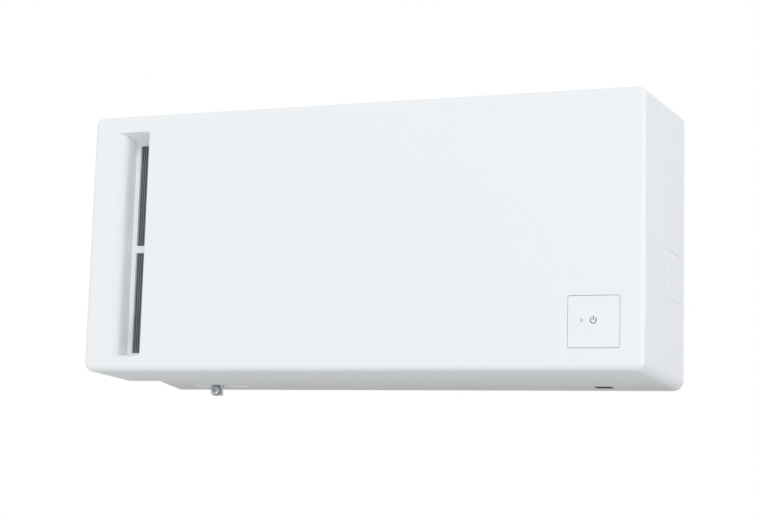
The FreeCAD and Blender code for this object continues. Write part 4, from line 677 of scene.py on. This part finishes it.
class VentilatorStage(bpy.types.PropertyGroup):
    """Floor, card, lamps and lens"""

    floor_drop: FloatProperty(
        name="Floor drop", description="Height of the part's middle over the floor", unit="LENGTH",
        default=3.0)
    floor_size: FloatProperty(
        name="Floor size", description="Side of the square floor", unit="LENGTH", default=3.0)
    floor_colour: FloatVectorProperty(
        name="Floor colour", description="Colour of the floor", subtype="COLOR", default=linear("F3F3F1"))
    card_height: FloatProperty(
        name="Card height", description="Height of the black card under the part", unit="LENGTH",
        default=0.09)
    card_place: FloatProperty(
        name="Card place", description="Depth at which the card hangs: 0 at the wall, negative before it",
        unit="LENGTH", default=-0.010)
    ambient: FloatProperty(name="Ambient", description="Light of the white surround", default=0.42)
    key_lamp: FloatProperty(
        name="Key lamp", description="Power of the large lamp in front and above", unit="POWER",
        default=74.0)
    fill_lamp: FloatProperty(
        name="Fill lamp", description="Power of the lamp in front on the right", unit="POWER", default=25.3)
    top_lamp: FloatProperty(
        name="Top lamp", description="Power of the lamp overhead", unit="POWER", default=8.0)
    left_lamp: FloatProperty(
        name="Left lamp", description="Power of the lamp in front on the left", unit="POWER", default=31.4)
    right_lamp: FloatProperty(
        name="Right lamp", description="Power of the lamp beside the part on the right", unit="POWER",
        default=21.8)
    low_lamp: FloatProperty(
        name="Low lamp", description="Power of the lamp in front and below", unit="POWER", default=17.0)
    lens: FloatProperty(name="Lens", description="Focal length of the camera", unit="CAMERA", default=81.83)


class VENTILATOR_OT_white_mouldings(bpy.types.Operator):
    """Dress the cover, the casing and their white mouldings"""

    bl_idname = "ventilator.white_mouldings"
    bl_label = "White mouldings"

    def execute(self, context):
        dress("white_shell", satin_white_abs(context.scene.ventilator_finish))
        return {"FINISHED"}


class VENTILATOR_OT_outlet_slats(bpy.types.Operator):
    """Dress the slats behind the outlet"""

    bl_idname = "ventilator.outlet_slats"
    bl_label = "Outlet slats"

    def execute(self, context):
        dress("dark_grille", matt_grey_abs(context.scene.ventilator_finish))
        return {"FINISHED"}


class VENTILATOR_OT_metalwork(bpy.types.Operator):
    """Dress the bracket, the motor and its plate, the bushes, the pins and the screws"""

    bl_idname = "ventilator.metalwork"
    bl_label = "Metalwork"

    def execute(self, context):
        finish = context.scene.ventilator_finish
        dress("zinc_sheet", galvanised_sheet(finish))
        dress("bright_steel", plated_steel(finish))
        dress("motor_steel", pressed_motor_steel(finish))
        dress("bush_bronze", sintered_bronze(finish))
        return {"FINISHED"}


class VENTILATOR_OT_inner_mouldings(bpy.types.Operator):
    """Dress the ducts, scrolls, impellers, dampers, foam blocks and seals"""

    bl_idname = "ventilator.inner_mouldings"
    bl_label = "Inner mouldings"

    def execute(self, context):
        finish = context.scene.ventilator_finish
        dress("grey_plastic", grey_abs(finish))
        dress("black_plastic", black_pbt(finish))
        dress("black_rubber", epdm_rubber(finish))
        dress("bead_foam", bead_foam(finish))
        return {"FINISHED"}


class VENTILATOR_OT_controls(bpy.types.Operator):
    """Dress the boards, the status light and the power symbol"""

    bl_idname = "ventilator.controls"
    bl_label = "Controls"

    def execute(self, context):
        finish = context.scene.ventilator_finish
        dress("board_green", solder_mask_board(finish))
        dress("light_grey", frosted_light_pipe(finish))
        dress("symbol_grey", printed_ink(finish))
        return {"FINISHED"}


class VENTILATOR_OT_filter_mats(bpy.types.Operator):
    """Make the pleated mats of the two filters"""

    bl_idname = "ventilator.filter_mats"
    bl_label = "Filter mats"

    def execute(self, context):
        media = context.scene.ventilator_media
        fleece = filter_fleece(context.scene.ventilator_finish)
        for body in ("outdoor_filter", "return_filter"):
            mats = bmesh.new()
            for low, high in filter_panels(body + "_mesh"):
                pleated_fleece(mats, low, high, media)
            new_piece(body + "_mats", mats, fleece, "filter_fabric", body, body + "_mesh")
        return {"FINISHED"}


class VENTILATOR_OT_core_layers(bpy.types.Operator):
    """Make the flat and fluted sheets of the exchange core"""

    bl_idname = "ventilator.core_layers"
    bl_label = "Core layers"

    def execute(self, context):
        paper = exchange_paper(context.scene.ventilator_finish)
        layers = layered_core(*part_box("exchange_core"), context.scene.ventilator_media)
        new_piece("core_layers", layers, paper, "exchange_paper", "casing", "exchange_core")
        return {"FINISHED"}


class VENTILATOR_OT_core_strap(bpy.types.Operator):
    """Make the sewn strap that draws the core out"""

    bl_idname = "ventilator.core_strap"
    bl_label = "Core strap"

    def execute(self, context):
        tape = woven_tape(context.scene.ventilator_finish)
        strap = carrying_strap(*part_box("core_handle"), context.scene.ventilator_media)
        new_piece("core_strap", strap, tape, "strap_fabric", "casing", "core_handle")
        return {"FINISHED"}


class VENTILATOR_OT_stage(bpy.types.Operator):
    """Set the floor, the black card, the lamps, the white surround and the camera"""

    bl_idname = "ventilator.stage"
    bl_label = "Stage"

    def execute(self, context):
        stage = context.scene.ventilator_stage
        context.scene.view_settings.view_transform = "Standard"
        set_camera(stage)
        lay_floor(stage)
        hang_card(stage)
        light_world(stage)
        for name, (place, size) in LAMPS.items():
            place_lamp(name, place, size, getattr(stage, name))
        return {"FINISHED"}


class VENTILATOR_PT_panel(bpy.types.Panel):
    """Pieces and settings of the ventilator"""

    bl_label = "Ventilator"
    bl_space_type = "VIEW_3D"
    bl_region_type = "UI"
    bl_category = "Ventilator"

    def draw(self, context):
        for operator in OPERATORS:
            self.layout.operator(operator.bl_idname)
        scene = context.scene
        for settings in (scene.ventilator_finish, scene.ventilator_media, scene.ventilator_stage):
            for name in settings.__annotations__:
                self.layout.prop(settings, name)


SETTINGS = (VentilatorFinish, VentilatorMedia, VentilatorStage)
OPERATORS = (
    VENTILATOR_OT_white_mouldings,
    VENTILATOR_OT_outlet_slats,
    VENTILATOR_OT_metalwork,
    VENTILATOR_OT_inner_mouldings,
    VENTILATOR_OT_controls,
    VENTILATOR_OT_filter_mats,
    VENTILATOR_OT_core_layers,
    VENTILATOR_OT_core_strap,
    VENTILATOR_OT_stage,
)


def register():
    for cls in SETTINGS + OPERATORS + (VENTILATOR_PT_panel,):
        bpy.utils.register_class(cls)
    bpy.types.Scene.ventilator_finish = PointerProperty(type=VentilatorFinish)
    bpy.types.Scene.ventilator_media = PointerProperty(type=VentilatorMedia)
    bpy.types.Scene.ventilator_stage = PointerProperty(type=VentilatorStage)


def unregister():
    del bpy.types.Scene.ventilator_stage
    del bpy.types.Scene.ventilator_media
    del bpy.types.Scene.ventilator_finish
    for cls in reversed(SETTINGS + OPERATORS + (VENTILATOR_PT_panel,)):
        bpy.utils.unregister_class(cls)


def main():
    """Dress the part piece by piece."""
    register()
    bpy.ops.ventilator.white_mouldings()
    bpy.ops.ventilator.outlet_slats()
    bpy.ops.ventilator.metalwork()
    bpy.ops.ventilator.inner_mouldings()
    bpy.ops.ventilator.controls()
    bpy.ops.ventilator.filter_mats()
    bpy.ops.ventilator.core_layers()
    bpy.ops.ventilator.core_strap()
    bpy.ops.ventilator.stage()


if __name__ == "__main__":
    main()
